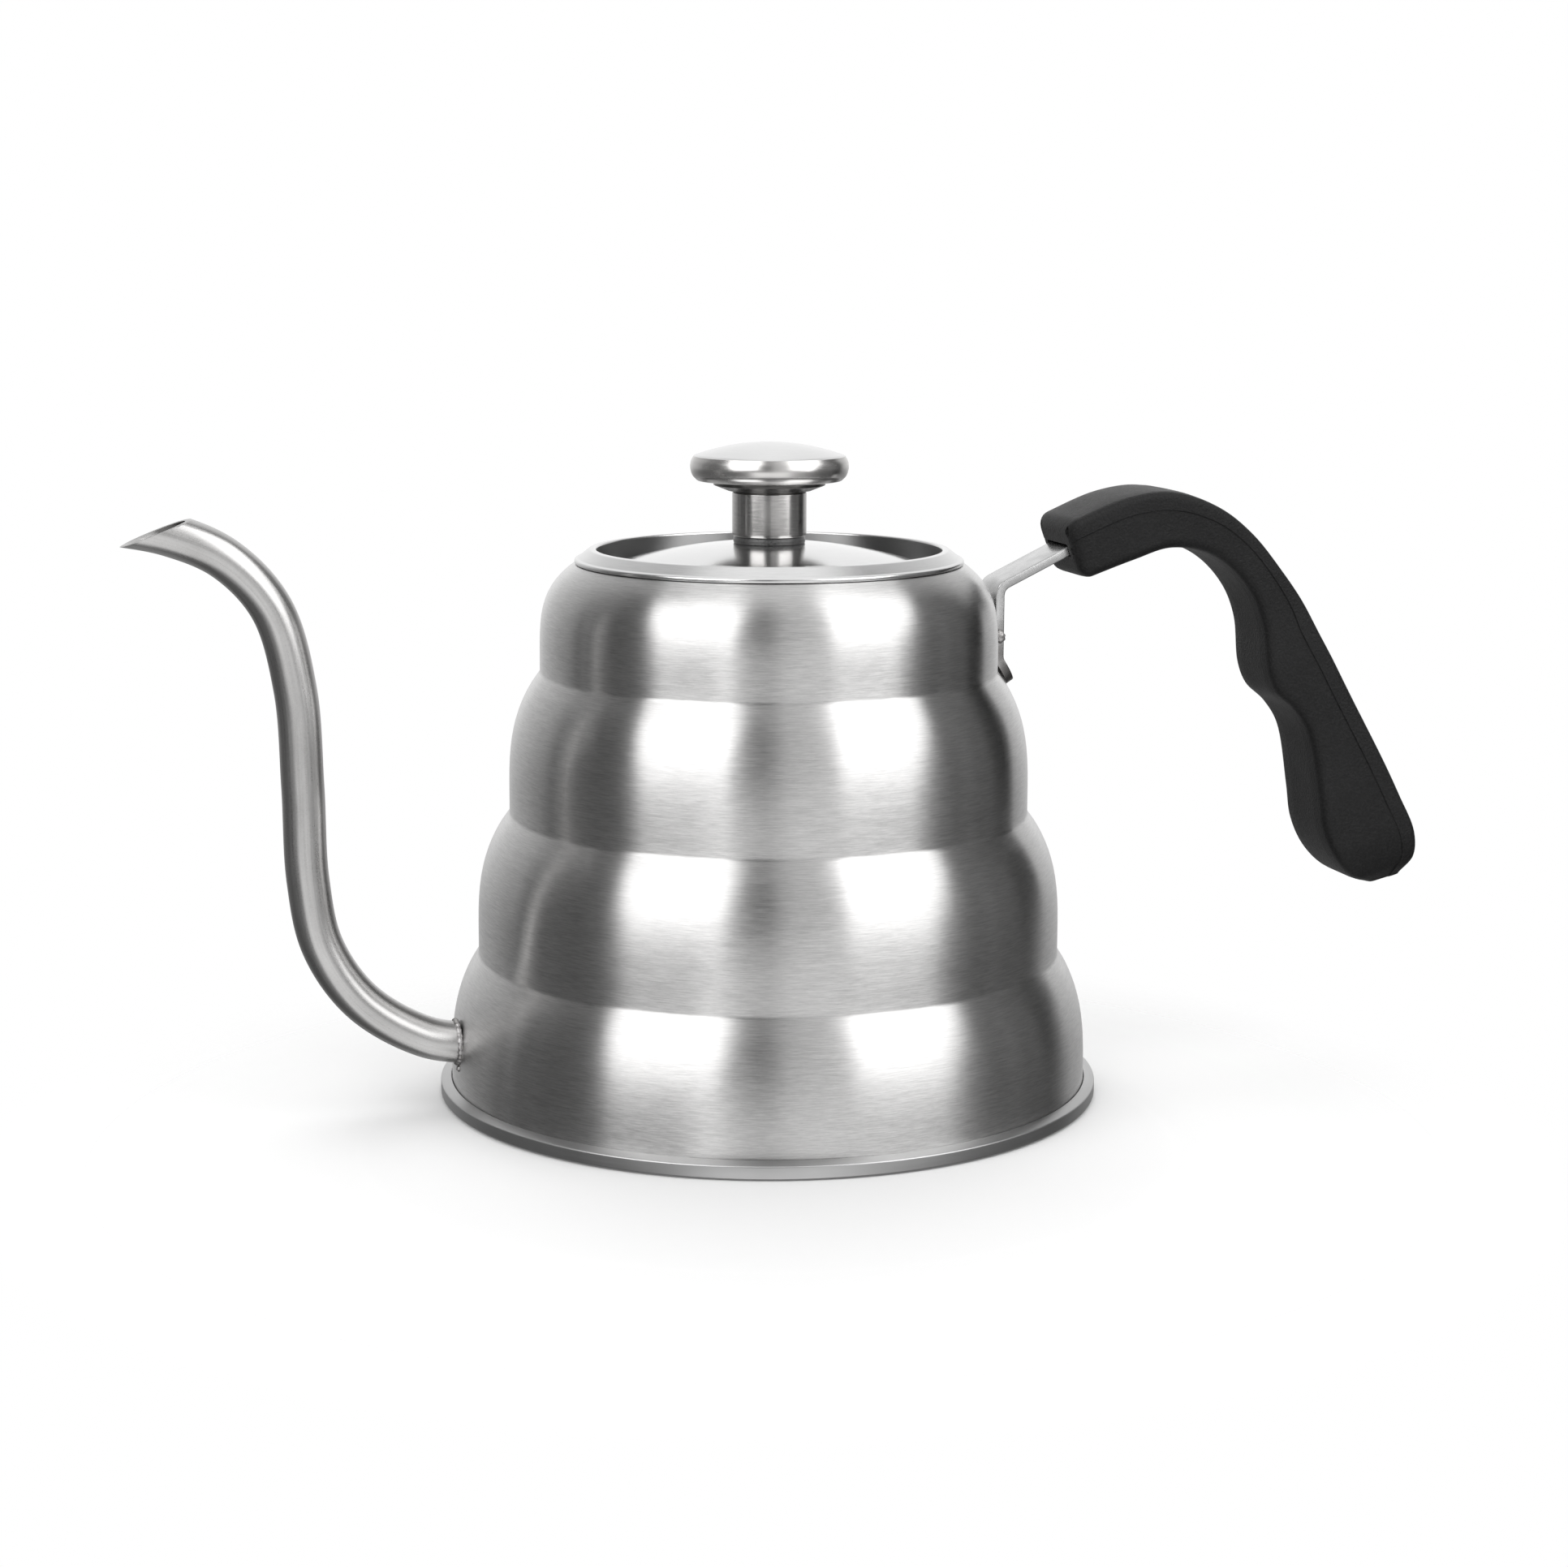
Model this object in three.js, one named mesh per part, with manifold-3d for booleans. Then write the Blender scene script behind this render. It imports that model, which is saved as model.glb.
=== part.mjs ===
// Stovetop gooseneck kettle, as an assembly of its separate pieces.
// Millimetres, +Z up. The origin is on the kettle's axis, in the plane that it stands on.
// The spout points along -X and the handle along +X.

import * as THREE from 'three';
import { mergeVertices } from 'three/addons/utils/BufferGeometryUtils.js';
import Module from 'manifold-3d';

const wasm = await Module();
wasm.setup();

// Driving dimensions -----------------------------------------------------------------------

const GAP = 0.3;                        // clearance left between neighbouring pieces
const BODY_SIDES = 40;                  // facets round the body, rim, base and lid
const SMALL_SIDES = 20;                 // facets round the knob, screws and welds

const SHEET = 0.8;                      // thickness of the pressed steel sheet
const RING_RADIUS = 72.5;               // hemmed ring round the foot
const RING_HEIGHT = 3.3;
const FLANGE_Z = 1.65;                  // foot flange that turns out into the ring
const FLANGE_WIDTH = 1.4;
const FLANGE_THICKNESS = 0.75;
const LOBE_RADII = [ 70.0, 63.8, 56.7, 49.8 ];  // upright wall of each stepped lobe, from the foot
const CREASE_Z = [ 31.2, 62.1, 92.9 ];  // height of the crease above each of the lower lobes
const SHOULDER_HEIGHT = 26.7;           // over which a lobe curves in to its crease
const SHOULDER_POWER = 3;
const TOP_SHOULDER_HEIGHT = 24;         // the top lobe turns in further, to the mouth
const TOP_SHOULDER_POWER = 4.6;
const MOUTH_SEAM_RADIUS = 42.2;
const MOUTH_SEAM_Z = 116.3;
const MOUTH_LIP = 2.6;                  // inward flange that the rim sits on

const RIM_CREST_Z = 119.6;
const RIM_CREST_RADIUS = 38.2;
const RIM_BORE = 37.3;                  // the lid drops into this bore
const LEDGE_Z = 113.9;                  // the lid rests here
const THROAT_RADIUS = 34.6;
const THROAT_END_Z = 107;

const LID_RADIUS = 36.7;
const LID_APEX_Z = 121.0;
const LID_FALL = 0.00447;               // the dome falls by this times the radius squared
const LID_PAD_RADIUS = 9;               // flat seat for the knob
const SKIRT_RADIUS = 33.9;
const SKIRT_END_Z = 104.5;

const STEM_RADIUS = 8.05;
const STEM_BOTTOM_Z = 122.2;
const STEM_TOP_Z = 131.9;
const BOSS_RADIUS = 12.1;
const BOSS_TOP_Z = 134.0;
const CAP_RADIUS = 17.1;
const CAP_WIDEST_Z = 136.8;
const CAP_TOP_Z = 142.4;
const GASKET_RADIUS = 7.8;
const WASHER_RADIUS = 5.5;
const WASHER_THICKNESS = 0.8;
const SCREW_RADIUS = 2;
const KNOB_SCREW_TOP = 138;

const TUBE_RADIUS = 4.5;
const TUBE_WALL = 0.8;
const TUBE_SIDES = 12;
const TUBE_STEPS = 46;
const SPOUT_ROOT = [ - 70.3, 14.35 ];   // where the tube's axis meets the wall, x and z
const SPOUT_RISE = 0.225;               // slope of the tube where it leaves the wall
const TIP = [ - 137.6, 123.0 ];         // point of the pouring lip, x and z
const TIP_CUT = THREE.MathUtils.degToRad( 20.9 );

const STRAP_WIDTH = 11.4;
const STRAP_THICKNESS = 2;
const STRAP_BEND = 3;                   // bend radius on the strap's middle line
const LEG_X = 51.3;                     // middle of the strap's upright leg
const FOOT_BEND_Z = 94;                 // below this the strap kicks out to its foot
const FOOT_END = [ 54.7, 88.7 ];        // x and z
const ARM_SLOPE = THREE.MathUtils.degToRad( 25.6 );
const ARM_CORNER_Z = 110.1;
const ARM_LENGTH = 34;
const BRACKET_WELD_Z = 99.3;
const GRIP_SCREW_ALONG = 25;            // along the arm, from its corner to the screw

// Materials --------------------------------------------------------------------------------

const brushedSteel = new THREE.MeshStandardMaterial( { color: 0xb4b5b6, roughness: 0.34, metalness: 1 } );
const polishedSteel = new THREE.MeshStandardMaterial( { color: 0xc9cacb, roughness: 0.14, metalness: 1 } );
const weldSteel = new THREE.MeshStandardMaterial( { color: 0x77767a, roughness: 0.55, metalness: 1 } );
const aluminium = new THREE.MeshStandardMaterial( { color: 0xa9acae, roughness: 0.5, metalness: 1 } );
const blackResin = new THREE.MeshStandardMaterial( { color: 0x1d1d1e, roughness: 0.6, metalness: 0 } );
const blackRubber = new THREE.MeshStandardMaterial( { color: 0x2a2a2b, roughness: 0.8, metalness: 0 } );

// Geometry helpers -------------------------------------------------------------------------

const kettle = new THREE.Group();

function add( name, geometry, material ) {

	const mesh = new THREE.Mesh( geometry, material );
	mesh.name = name;
	kettle.add( mesh );
	return mesh;

}

// Turns a closed outline of [radius, height] points about the vertical axis. An outline that
// runs counterclockwise, with the radius to the right and the height up, faces outwards.
function turned( outline, sides = BODY_SIDES ) {

	const points = outline.map( ( [ radius, z ] ) => new THREE.Vector2( radius, z ) );
	const onAxis = points[ 0 ].x === 0 && points.at( - 1 ).x === 0;
	if ( ! onAxis ) points.push( points[ 0 ].clone() );
	const geometry = new THREE.LatheGeometry( points, sides );
	geometry.rotateX( Math.PI / 2 );
	return geometry;

}

function toSolid( geometry ) {

	const bare = geometry.clone();
	bare.deleteAttribute( 'normal' );
	bare.deleteAttribute( 'uv' );
	const merged = mergeVertices( bare, 1e-4 );
	return new wasm.Manifold( new wasm.Mesh( {
		numProp: 3,
		vertProperties: new Float32Array( merged.attributes.position.array ),
		triVerts: new Uint32Array( merged.index.array ),
	} ) );

}

function toGeometry( solid ) {

	const mesh = solid.getMesh();
	const geometry = new THREE.BufferGeometry();
	geometry.setAttribute( 'position', new THREE.BufferAttribute( mesh.vertProperties, 3 ) );
	geometry.setIndex( new THREE.BufferAttribute( mesh.triVerts, 1 ) );
	geometry.computeVertexNormals();
	return geometry;

}

function cut( geometry, ...tools ) {

	let solid = toSolid( geometry );
	for ( const tool of tools ) solid = solid.subtract( toSolid( tool ) );
	return toGeometry( solid );

}

// A round rod of the given length, centred on a point and lying along a direction.
function rod( radius, length, centre, direction, sides = SMALL_SIDES ) {

	const geometry = new THREE.CylinderGeometry( radius, radius, length, sides );
	const turn = new THREE.Quaternion().setFromUnitVectors(
		new THREE.Vector3( 0, 1, 0 ), direction.clone().normalize() );
	geometry.applyQuaternion( turn );
	geometry.translate( centre.x, centre.y, centre.z );
	return geometry;

}

// A flat outline in the X-Z plane given thickness along Y, centred on the kettle's middle plane.
function slab( shape, width ) {

	const geometry = new THREE.ExtrudeGeometry( shape, { depth: width, steps: 1, bevelEnabled: false } );
	geometry.translate( 0, 0, - width / 2 );
	geometry.rotateX( Math.PI / 2 );
	return geometry;

}

// Body -------------------------------------------------------------------------------------

// Outer radius at each height of one lobe: upright at first, then curving in to the crease.
function shoulder( wall, end, topZ, height, power, fractions ) {

	return fractions.map( ( t ) => [ wall - ( wall - end ) * t ** power, topZ - height * ( 1 - t ) ] );

}

function bodyProfile( inset, fractions ) {

	const points = [];
	CREASE_Z.forEach( ( z, i ) => {

		points.push( ...shoulder( LOBE_RADII[ i ], LOBE_RADII[ i + 1 ], z,
			SHOULDER_HEIGHT, SHOULDER_POWER, fractions ) );

	} );
	points.push( ...shoulder( LOBE_RADII.at( - 1 ), MOUTH_SEAM_RADIUS, MOUTH_SEAM_Z,
		TOP_SHOULDER_HEIGHT, TOP_SHOULDER_POWER, fractions.slice( 1 ) ) );
	return points.map( ( [ radius, z ] ) => [ radius - inset, z ] );

}

function spoutAxisPoint( distance ) {

	const direction = new THREE.Vector3( - 1, 0, SPOUT_RISE ).normalize();
	return new THREE.Vector3( SPOUT_ROOT[ 0 ], 0, SPOUT_ROOT[ 1 ] ).addScaledVector( direction, distance );

}

function spoutDirection() {

	return new THREE.Vector3( - 1, 0, SPOUT_RISE );

}

function makeBodyShell() {

	const wall = LOBE_RADII[ 0 ];
	const outside = bodyProfile( 0, [ 0, 0.4, 0.6, 0.76, 0.89, 1 ] );
	const inside = bodyProfile( SHEET, [ 0, 0.5, 0.78, 1 ] );
	inside.pop();
	const lipZ = MOUTH_SEAM_Z - SHEET;
	const outline = [
		[ wall - SHEET, FLANGE_Z ], [ wall + FLANGE_WIDTH, FLANGE_Z ],
		[ wall + FLANGE_WIDTH, FLANGE_Z + FLANGE_THICKNESS ], [ wall, FLANGE_Z + FLANGE_THICKNESS ],
		...outside,
		[ MOUTH_SEAM_RADIUS - MOUTH_LIP, MOUTH_SEAM_Z ], [ MOUTH_SEAM_RADIUS - MOUTH_LIP, lipZ ],
		[ MOUTH_SEAM_RADIUS - 0.4, lipZ ],
		...inside.reverse(),
	];
	const hole = rod( TUBE_RADIUS - TUBE_WALL, 20, spoutAxisPoint( 0 ), spoutDirection() );
	return cut( turned( outline ), hole );

}

function makeMouthRim() {

	const bore = RIM_BORE + SHEET + 0.1;
	const edge = MOUTH_SEAM_RADIUS - 0.1;
	return turned( [
		[ THROAT_RADIUS, THROAT_END_Z ], [ THROAT_RADIUS + SHEET, THROAT_END_Z ],
		[ THROAT_RADIUS + SHEET, LEDGE_Z - SHEET ], [ bore, LEDGE_Z - SHEET ],
		[ bore, MOUTH_SEAM_Z + 2.2 ], [ edge - 1.1, MOUTH_SEAM_Z + GAP + 0.05 ],
		[ edge - 0.15, MOUTH_SEAM_Z + GAP ], [ edge, MOUTH_SEAM_Z + 0.85 ],
		[ edge - 0.5, MOUTH_SEAM_Z + 1.25 ],
		[ RIM_CREST_RADIUS + 0.5, RIM_CREST_Z - 0.15 ], [ RIM_CREST_RADIUS, RIM_CREST_Z ],
		[ RIM_BORE + 0.3, RIM_CREST_Z - 0.15 ], [ RIM_BORE, RIM_CREST_Z - 0.6 ],
		[ RIM_BORE, LEDGE_Z ], [ THROAT_RADIUS, LEDGE_Z ],
	] );

}

// Base -------------------------------------------------------------------------------------

const PAN_FLOOR_Z = 3.7;
const PAN_SIDE_RADIUS = 66.9;           // where the pan comes down to the ring
const CAP_PLATE = 0.6;
const CORE_RADIUS = 61;

// The pan's edge passes under the body's flange and folds back over it as the hemmed ring.
function makeBasePan() {

	const side = PAN_SIDE_RADIUS;
	const wallGap = LOBE_RADII[ 0 ] + GAP;
	const flange = { bottom: FLANGE_Z - 0.35, top: FLANGE_Z + FLANGE_THICKNESS + 0.35 };
	return turned( [
		[ 0, PAN_FLOOR_Z ], [ side - 1.7, PAN_FLOOR_Z ], [ side, 2.4 ], [ side, 0 ],
		[ RING_RADIUS - 0.4, 0 ], [ RING_RADIUS, 0.4 ], [ RING_RADIUS, RING_HEIGHT - 0.5 ],
		[ RING_RADIUS - 0.5, RING_HEIGHT ], [ wallGap, RING_HEIGHT + 0.2 ], [ wallGap, flange.top ],
		[ RING_RADIUS - 0.7, flange.top ], [ RING_RADIUS - 0.7, flange.bottom ],
		[ side + SHEET, flange.bottom ], [ side + SHEET, 2.9 ],
		[ side - 1.2, PAN_FLOOR_Z + SHEET ], [ 0, PAN_FLOOR_Z + SHEET ],
	] );

}

function makeBaseCore() {

	const bottom = CAP_PLATE + GAP;
	const top = PAN_FLOOR_Z - GAP;
	return turned( [ [ 0, bottom ], [ CORE_RADIUS, bottom ], [ CORE_RADIUS, top ], [ 0, top ] ] );

}

function makeBaseCap() {

	const inner = CORE_RADIUS + GAP;
	const lip = PAN_FLOOR_Z - GAP;
	return turned( [
		[ 0, 0 ], [ inner + 0.4, 0 ], [ inner + 1.2, CAP_PLATE ], [ inner + CAP_PLATE, lip ],
		[ inner, lip ], [ inner, CAP_PLATE ], [ 0, CAP_PLATE ],
	] );

}

// Spout ------------------------------------------------------------------------------------

const SPOUT_AXIS = new THREE.CatmullRomCurve3( [
	spoutAxisPoint( - 5 ),
	spoutAxisPoint( 7 ),
	...[
		[ - 90.2, 24.4 ], [ - 98.3, 36.9 ], [ - 101.1, 51.5 ], [ - 101.7, 71.6 ], [ - 102.8, 92.5 ],
		[ - 107.3, 109.6 ], [ - 116.4, 120.0 ], [ - 127.6, 125.3 ], [ - 141, 128.2 ],
	].map( ( [ x, z ] ) => new THREE.Vector3( x, 0, z ) ),
], false, 'centripetal' );

function makeSpoutTube() {

	const section = new THREE.Shape().absarc( 0, 0, TUBE_RADIUS, 0, 2 * Math.PI );
	section.holes.push( new THREE.Path().absarc( 0, 0, TUBE_RADIUS - TUBE_WALL, 0, 2 * Math.PI, true ) );
	const tube = new THREE.ExtrudeGeometry( section, {
		steps: TUBE_STEPS, curveSegments: TUBE_SIDES / 2, bevelEnabled: false, extrudePath: SPOUT_AXIS,
	} );
	const wallRadius = LOBE_RADII[ 0 ] + GAP;
	const bodyInside = turned( [ [ 0, 0 ], [ wallRadius, 0 ], [ wallRadius, 30 ], [ 0, 30 ] ] );
	const size = 40;
	const aboveCut = new THREE.BoxGeometry( size, size, size );
	aboveCut.translate( 0, 0, size / 2 );
	aboveCut.rotateY( - TIP_CUT );
	aboveCut.translate( TIP[ 0 ], 0, TIP[ 1 ] );
	return cut( tube, bodyInside, aboveCut );

}

// The bead where the tube is welded to the body's wall.
function makeSpoutWeld() {

	const bore = TUBE_RADIUS + GAP;
	const bead = turned( [ [ bore + 0.1, 0 ], [ bore + 0.8, 0.05 ], [ bore + 0.95, 0.5 ],
		[ bore + 0.55, 1.05 ], [ bore + 0.1, 1.1 ] ], SMALL_SIDES );
	bead.rotateY( - Math.PI / 2 );
	bead.translate( SPOUT_ROOT[ 0 ] - 0.1, 0, SPOUT_ROOT[ 1 ] + 0.12 );
	return bead;

}

// Handle -----------------------------------------------------------------------------------

const ARM_DIRECTION = new THREE.Vector3( Math.cos( ARM_SLOPE ), 0, Math.sin( ARM_SLOPE ) );

function armPoint( along ) {

	return new THREE.Vector3( LEG_X, 0, ARM_CORNER_Z ).addScaledVector( ARM_DIRECTION, along );

}

// Outline of a bent strip: each corner of its middle line becomes an arc, and the outline runs
// up one side and back down the other.
function bentStrip( corners, bendRadius, thickness ) {

	const middle = [ corners[ 0 ] ];
	for ( let i = 1; i < corners.length - 1; i ++ ) {

		const back = corners[ i - 1 ].clone().sub( corners[ i ] ).normalize();
		const on = corners[ i + 1 ].clone().sub( corners[ i ] ).normalize();
		const half = back.angleTo( on ) / 2;
		const reach = bendRadius / Math.tan( half );
		const curve = new THREE.QuadraticBezierCurve(
			corners[ i ].clone().addScaledVector( back, reach ), corners[ i ],
			corners[ i ].clone().addScaledVector( on, reach ) );
		middle.push( ...curve.getPoints( 5 ) );

	}

	middle.push( corners.at( - 1 ) );
	const side = ( sign ) => middle.map( ( point, i ) => {

		const along = middle[ Math.min( i + 1, middle.length - 1 ) ].clone()
			.sub( middle[ Math.max( i - 1, 0 ) ] ).normalize();
		return new THREE.Vector2( point.x - sign * along.y * thickness / 2,
			point.y + sign * along.x * thickness / 2 );

	} );
	return new THREE.Shape( [ ...side( 1 ), ...side( - 1 ).reverse() ] );

}

function strapShape( thickness, endAlong ) {

	const end = armPoint( endAlong );
	return bentStrip( [
		new THREE.Vector2( ...FOOT_END ), new THREE.Vector2( LEG_X, FOOT_BEND_Z ),
		new THREE.Vector2( LEG_X, ARM_CORNER_Z ), new THREE.Vector2( end.x, end.z ),
	], STRAP_BEND, thickness );

}

// The screw runs up through the grip's underside and the strap, square to the strap's arm.
const SCREW_UP = new THREE.Vector3( - Math.sin( ARM_SLOPE ), 0, Math.cos( ARM_SLOPE ) );

function gripScrewPoint( up ) {

	return armPoint( GRIP_SCREW_ALONG ).addScaledVector( SCREW_UP, up );

}

const GRIP_SCREW_HEAD = { radius: 3.2, bottom: - 6.2, top: - 4.2 };
const GRIP_SCREW_TOP = 3.4;

function screwSolid( clearance ) {

	const { radius, bottom, top } = GRIP_SCREW_HEAD;
	const head = clearance ? { from: bottom - 8, to: top + clearance } : { from: bottom, to: top };
	const shank = { from: top - 0.5, to: GRIP_SCREW_TOP + clearance };
	const part = ( r, { from, to } ) => toSolid(
		rod( r + clearance, to - from, gripScrewPoint( ( from + to ) / 2 ), SCREW_UP ) );
	return part( radius, head ).add( part( SCREW_RADIUS, shank ) );

}

function makeHandleBracket() {

	const strap = slab( strapShape( STRAP_THICKNESS, ARM_LENGTH ), STRAP_WIDTH );
	const hole = rod( SCREW_RADIUS + GAP, 4 * STRAP_THICKNESS, gripScrewPoint( 0 ), SCREW_UP );
	return cut( strap, hole );

}

function makeBracketWeld( side ) {

	const bead = new THREE.SphereGeometry( 1, 10, 6 );
	bead.rotateX( Math.PI / 2 );
	bead.scale( 1.25, 1.05, 1.5 );
	bead.translate( LEG_X - 0.25, side * ( STRAP_WIDTH / 2 + GAP + 1.05 ), BRACKET_WELD_Z );
	return bead;

}

// The grip is lofted between its back and its finger side. Each station gives a point on the
// back, the point opposite it on the finger side, both as x and z, and the width there.
const GRIP_STATIONS = [
	{ back: [ 64.7, 124.3 ], fingers: [ 69.3, 111.3 ], width: 21 },
	{ back: [ 79.5, 130.0 ], fingers: [ 81.5, 115.6 ], width: 22 },
	{ back: [ 90.0, 131.0 ], fingers: [ 89.8, 118.0 ], width: 22 },
	{ back: [ 101.5, 127.2 ], fingers: [ 98.3, 116.9 ], width: 21 },
	{ back: [ 110.0, 121.0 ], fingers: [ 104.8, 113.3 ], width: 20 },
	{ back: [ 117.5, 112.4 ], fingers: [ 110.4, 107.0 ], width: 20 },
	{ back: [ 122.8, 105.4 ], fingers: [ 113.3, 100.0 ], width: 20 },
	{ back: [ 127.7, 97.0 ], fingers: [ 114.8, 89.4 ], width: 21 },
	{ back: [ 130.4, 92.5 ], fingers: [ 116.9, 84.5 ], width: 21 },
	{ back: [ 133.5, 87.0 ], fingers: [ 121.6, 80.2 ], width: 21 },
	{ back: [ 136.8, 81.2 ], fingers: [ 125.2, 74.6 ], width: 21 },
	{ back: [ 143.9, 68.5 ], fingers: [ 128.3, 60.0 ], width: 22 },
	{ back: [ 148.3, 60.2 ], fingers: [ 129.6, 52.2 ], width: 22 },
	{ back: [ 152.5, 51.5 ], fingers: [ 132.9, 45.5 ], width: 22 },
	{ back: [ 153.3, 45.2 ], fingers: [ 137.6, 40.7 ], width: 19 },
	{ back: [ 151.1, 40.9 ], fingers: [ 142.7, 38.9 ], width: 13 },
];
const GRIP_SIDES = 16;
const GRIP_SQUARENESS = 3.4;            // 2 would make the section an ellipse

// A closed skin through rings of equal length, with a flat fan over each end.
function loft( rings ) {

	const sides = rings[ 0 ].length;
	const positions = rings.flat().flatMap( ( point ) => point.toArray() );
	const indices = [];
	for ( let i = 0; i < rings.length - 1; i ++ ) {

		for ( let j = 0; j < sides; j ++ ) {

			const a = i * sides + j;
			const b = i * sides + ( j + 1 ) % sides;
			indices.push( a, b, a + sides, b, b + sides, a + sides );

		}

	}

	const last = ( rings.length - 1 ) * sides;
	for ( let j = 1; j < sides - 1; j ++ ) {

		indices.push( 0, j + 1, j );
		indices.push( last, last + j, last + j + 1 );

	}

	const geometry = new THREE.BufferGeometry();
	geometry.setAttribute( 'position', new THREE.Float32BufferAttribute( positions, 3 ) );
	geometry.setIndex( indices );
	return geometry;

}

function makeGripBlank() {

	const curveAlong = ( side ) => new THREE.CatmullRomCurve3( GRIP_STATIONS.map( ( station ) =>
		new THREE.Vector3( station[ side ][ 0 ], station.width / 2, station[ side ][ 1 ] ) ),
	false, 'catmullrom', 0.5 );
	const back = curveAlong( 'back' ).getPoints( 2 * GRIP_STATIONS.length - 2 );
	const fingers = curveAlong( 'fingers' ).getPoints( 2 * GRIP_STATIONS.length - 2 );
	const rounded = ( value ) => Math.sign( value ) * Math.abs( value ) ** ( 2 / GRIP_SQUARENESS );
	const rings = back.map( ( backPoint, i ) => {

		const ring = [];
		for ( let j = 0; j < GRIP_SIDES; j ++ ) {

			const angle = 2 * Math.PI * ( j + 0.5 ) / GRIP_SIDES;
			const point = backPoint.clone().lerp( fingers[ i ], ( 1 + rounded( Math.cos( angle ) ) ) / 2 );
			point.y = backPoint.y * rounded( Math.sin( angle ) );
			ring.push( point );

		}

		return ring;

	} );
	return loft( rings );

}

function makeHandleGrip() {

	const slot = slab( strapShape( STRAP_THICKNESS + 2 * GAP, ARM_LENGTH + GAP ), STRAP_WIDTH + 2 * GAP );
	return toGeometry( toSolid( makeGripBlank() ).subtract( toSolid( slot ) ).subtract( screwSolid( GAP ) ) );

}

// Lid --------------------------------------------------------------------------------------

function domeZ( radius ) {

	return LID_APEX_Z - LID_FALL * radius ** 2;

}

function makeLidPlate() {

	const hole = SCREW_RADIUS + GAP;
	const padZ = domeZ( LID_PAD_RADIUS );
	const radii = [ 14, 20, 26, 31.5, 36 ];
	const edge = LID_RADIUS - 2.3;
	return turned( [
		[ hole, padZ - SHEET ], [ LID_PAD_RADIUS, padZ - SHEET ],
		...radii.slice( 0, - 1 ).map( ( radius ) => [ radius, domeZ( radius ) - SHEET ] ),
		[ edge, domeZ( edge ) - SHEET ], [ edge + 0.6, LEDGE_Z + GAP ],
		[ LID_RADIUS, LEDGE_Z + GAP ], [ LID_RADIUS, LEDGE_Z + 0.9 ],
		...radii.reverse().map( ( radius ) => [ radius, domeZ( radius ) ] ),
		[ LID_PAD_RADIUS, padZ ], [ hole, padZ ],
	] );

}

function makeLidSkirt() {

	const top = domeZ( SKIRT_RADIUS ) - SHEET - GAP;
	return turned( [
		[ SKIRT_RADIUS - 0.8, SKIRT_END_Z + 0.2 ], [ SKIRT_RADIUS - 0.2, SKIRT_END_Z ],
		[ SKIRT_RADIUS, SKIRT_END_Z + 0.4 ], [ SKIRT_RADIUS, LEDGE_Z - 0.2 ],
		[ SKIRT_RADIUS - 0.4, top ], [ SKIRT_RADIUS - 3.5, top + 0.3 ],
		[ SKIRT_RADIUS - 3.5, top - 0.3 ], [ SKIRT_RADIUS - 1, top - 0.6 ],
	] );

}

// Knob -------------------------------------------------------------------------------------

const SEAT_Z = domeZ( LID_PAD_RADIUS );

function ringAround( radius, bore, bottom, top ) {

	return turned( [ [ bore, bottom ], [ radius, bottom ], [ radius, top ], [ bore, top ] ], SMALL_SIDES );

}

function makeKnobBoss() {

	const bore = SCREW_RADIUS + GAP;
	const bottom = STEM_TOP_Z + 0.1;
	return turned( [
		[ bore, bottom ], [ 9.4, bottom ], [ BOSS_RADIUS - 0.9, BOSS_TOP_Z - 1.3 ],
		[ BOSS_RADIUS, BOSS_TOP_Z - 0.9 ], [ BOSS_RADIUS, BOSS_TOP_Z ], [ bore, BOSS_TOP_Z ],
	], SMALL_SIDES );

}

// The screw's thread ends in a blind hole in the cap.
function makeKnobCap() {

	const bottom = BOSS_TOP_Z + 0.2;
	const holeTop = KNOB_SCREW_TOP + GAP;
	const bore = SCREW_RADIUS + GAP;
	return turned( [
		[ 0, holeTop ], [ bore, holeTop ], [ bore, bottom ], [ CAP_RADIUS - 2, bottom ],
		[ CAP_RADIUS - 1.2, bottom + 0.3 ], [ CAP_RADIUS - 0.3, CAP_WIDEST_Z - 1.4 ],
		[ CAP_RADIUS, CAP_WIDEST_Z ], [ CAP_RADIUS - 0.25, CAP_WIDEST_Z + 1.3 ],
		[ CAP_RADIUS - 0.9, CAP_WIDEST_Z + 2.3 ], [ CAP_RADIUS - 3, CAP_WIDEST_Z + 3.5 ],
		[ CAP_RADIUS - 8, CAP_TOP_Z - 0.75 ], [ CAP_RADIUS - 13, CAP_TOP_Z - 0.15 ], [ 0, CAP_TOP_Z ],
	], SMALL_SIDES );

}

const WASHER_TOP_Z = SEAT_Z - SHEET - 0.1;

function makeKnobScrew() {

	const headTop = WASHER_TOP_Z - WASHER_THICKNESS - 0.1;
	return turned( [
		[ 0, headTop - 2.4 ], [ 2.6, headTop - 2.2 ], [ 3.6, headTop - 1.2 ], [ 3.7, headTop ],
		[ SCREW_RADIUS, headTop ], [ SCREW_RADIUS, KNOB_SCREW_TOP ], [ 0, KNOB_SCREW_TOP ],
	], SMALL_SIDES );

}

// Assembly ---------------------------------------------------------------------------------

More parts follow.
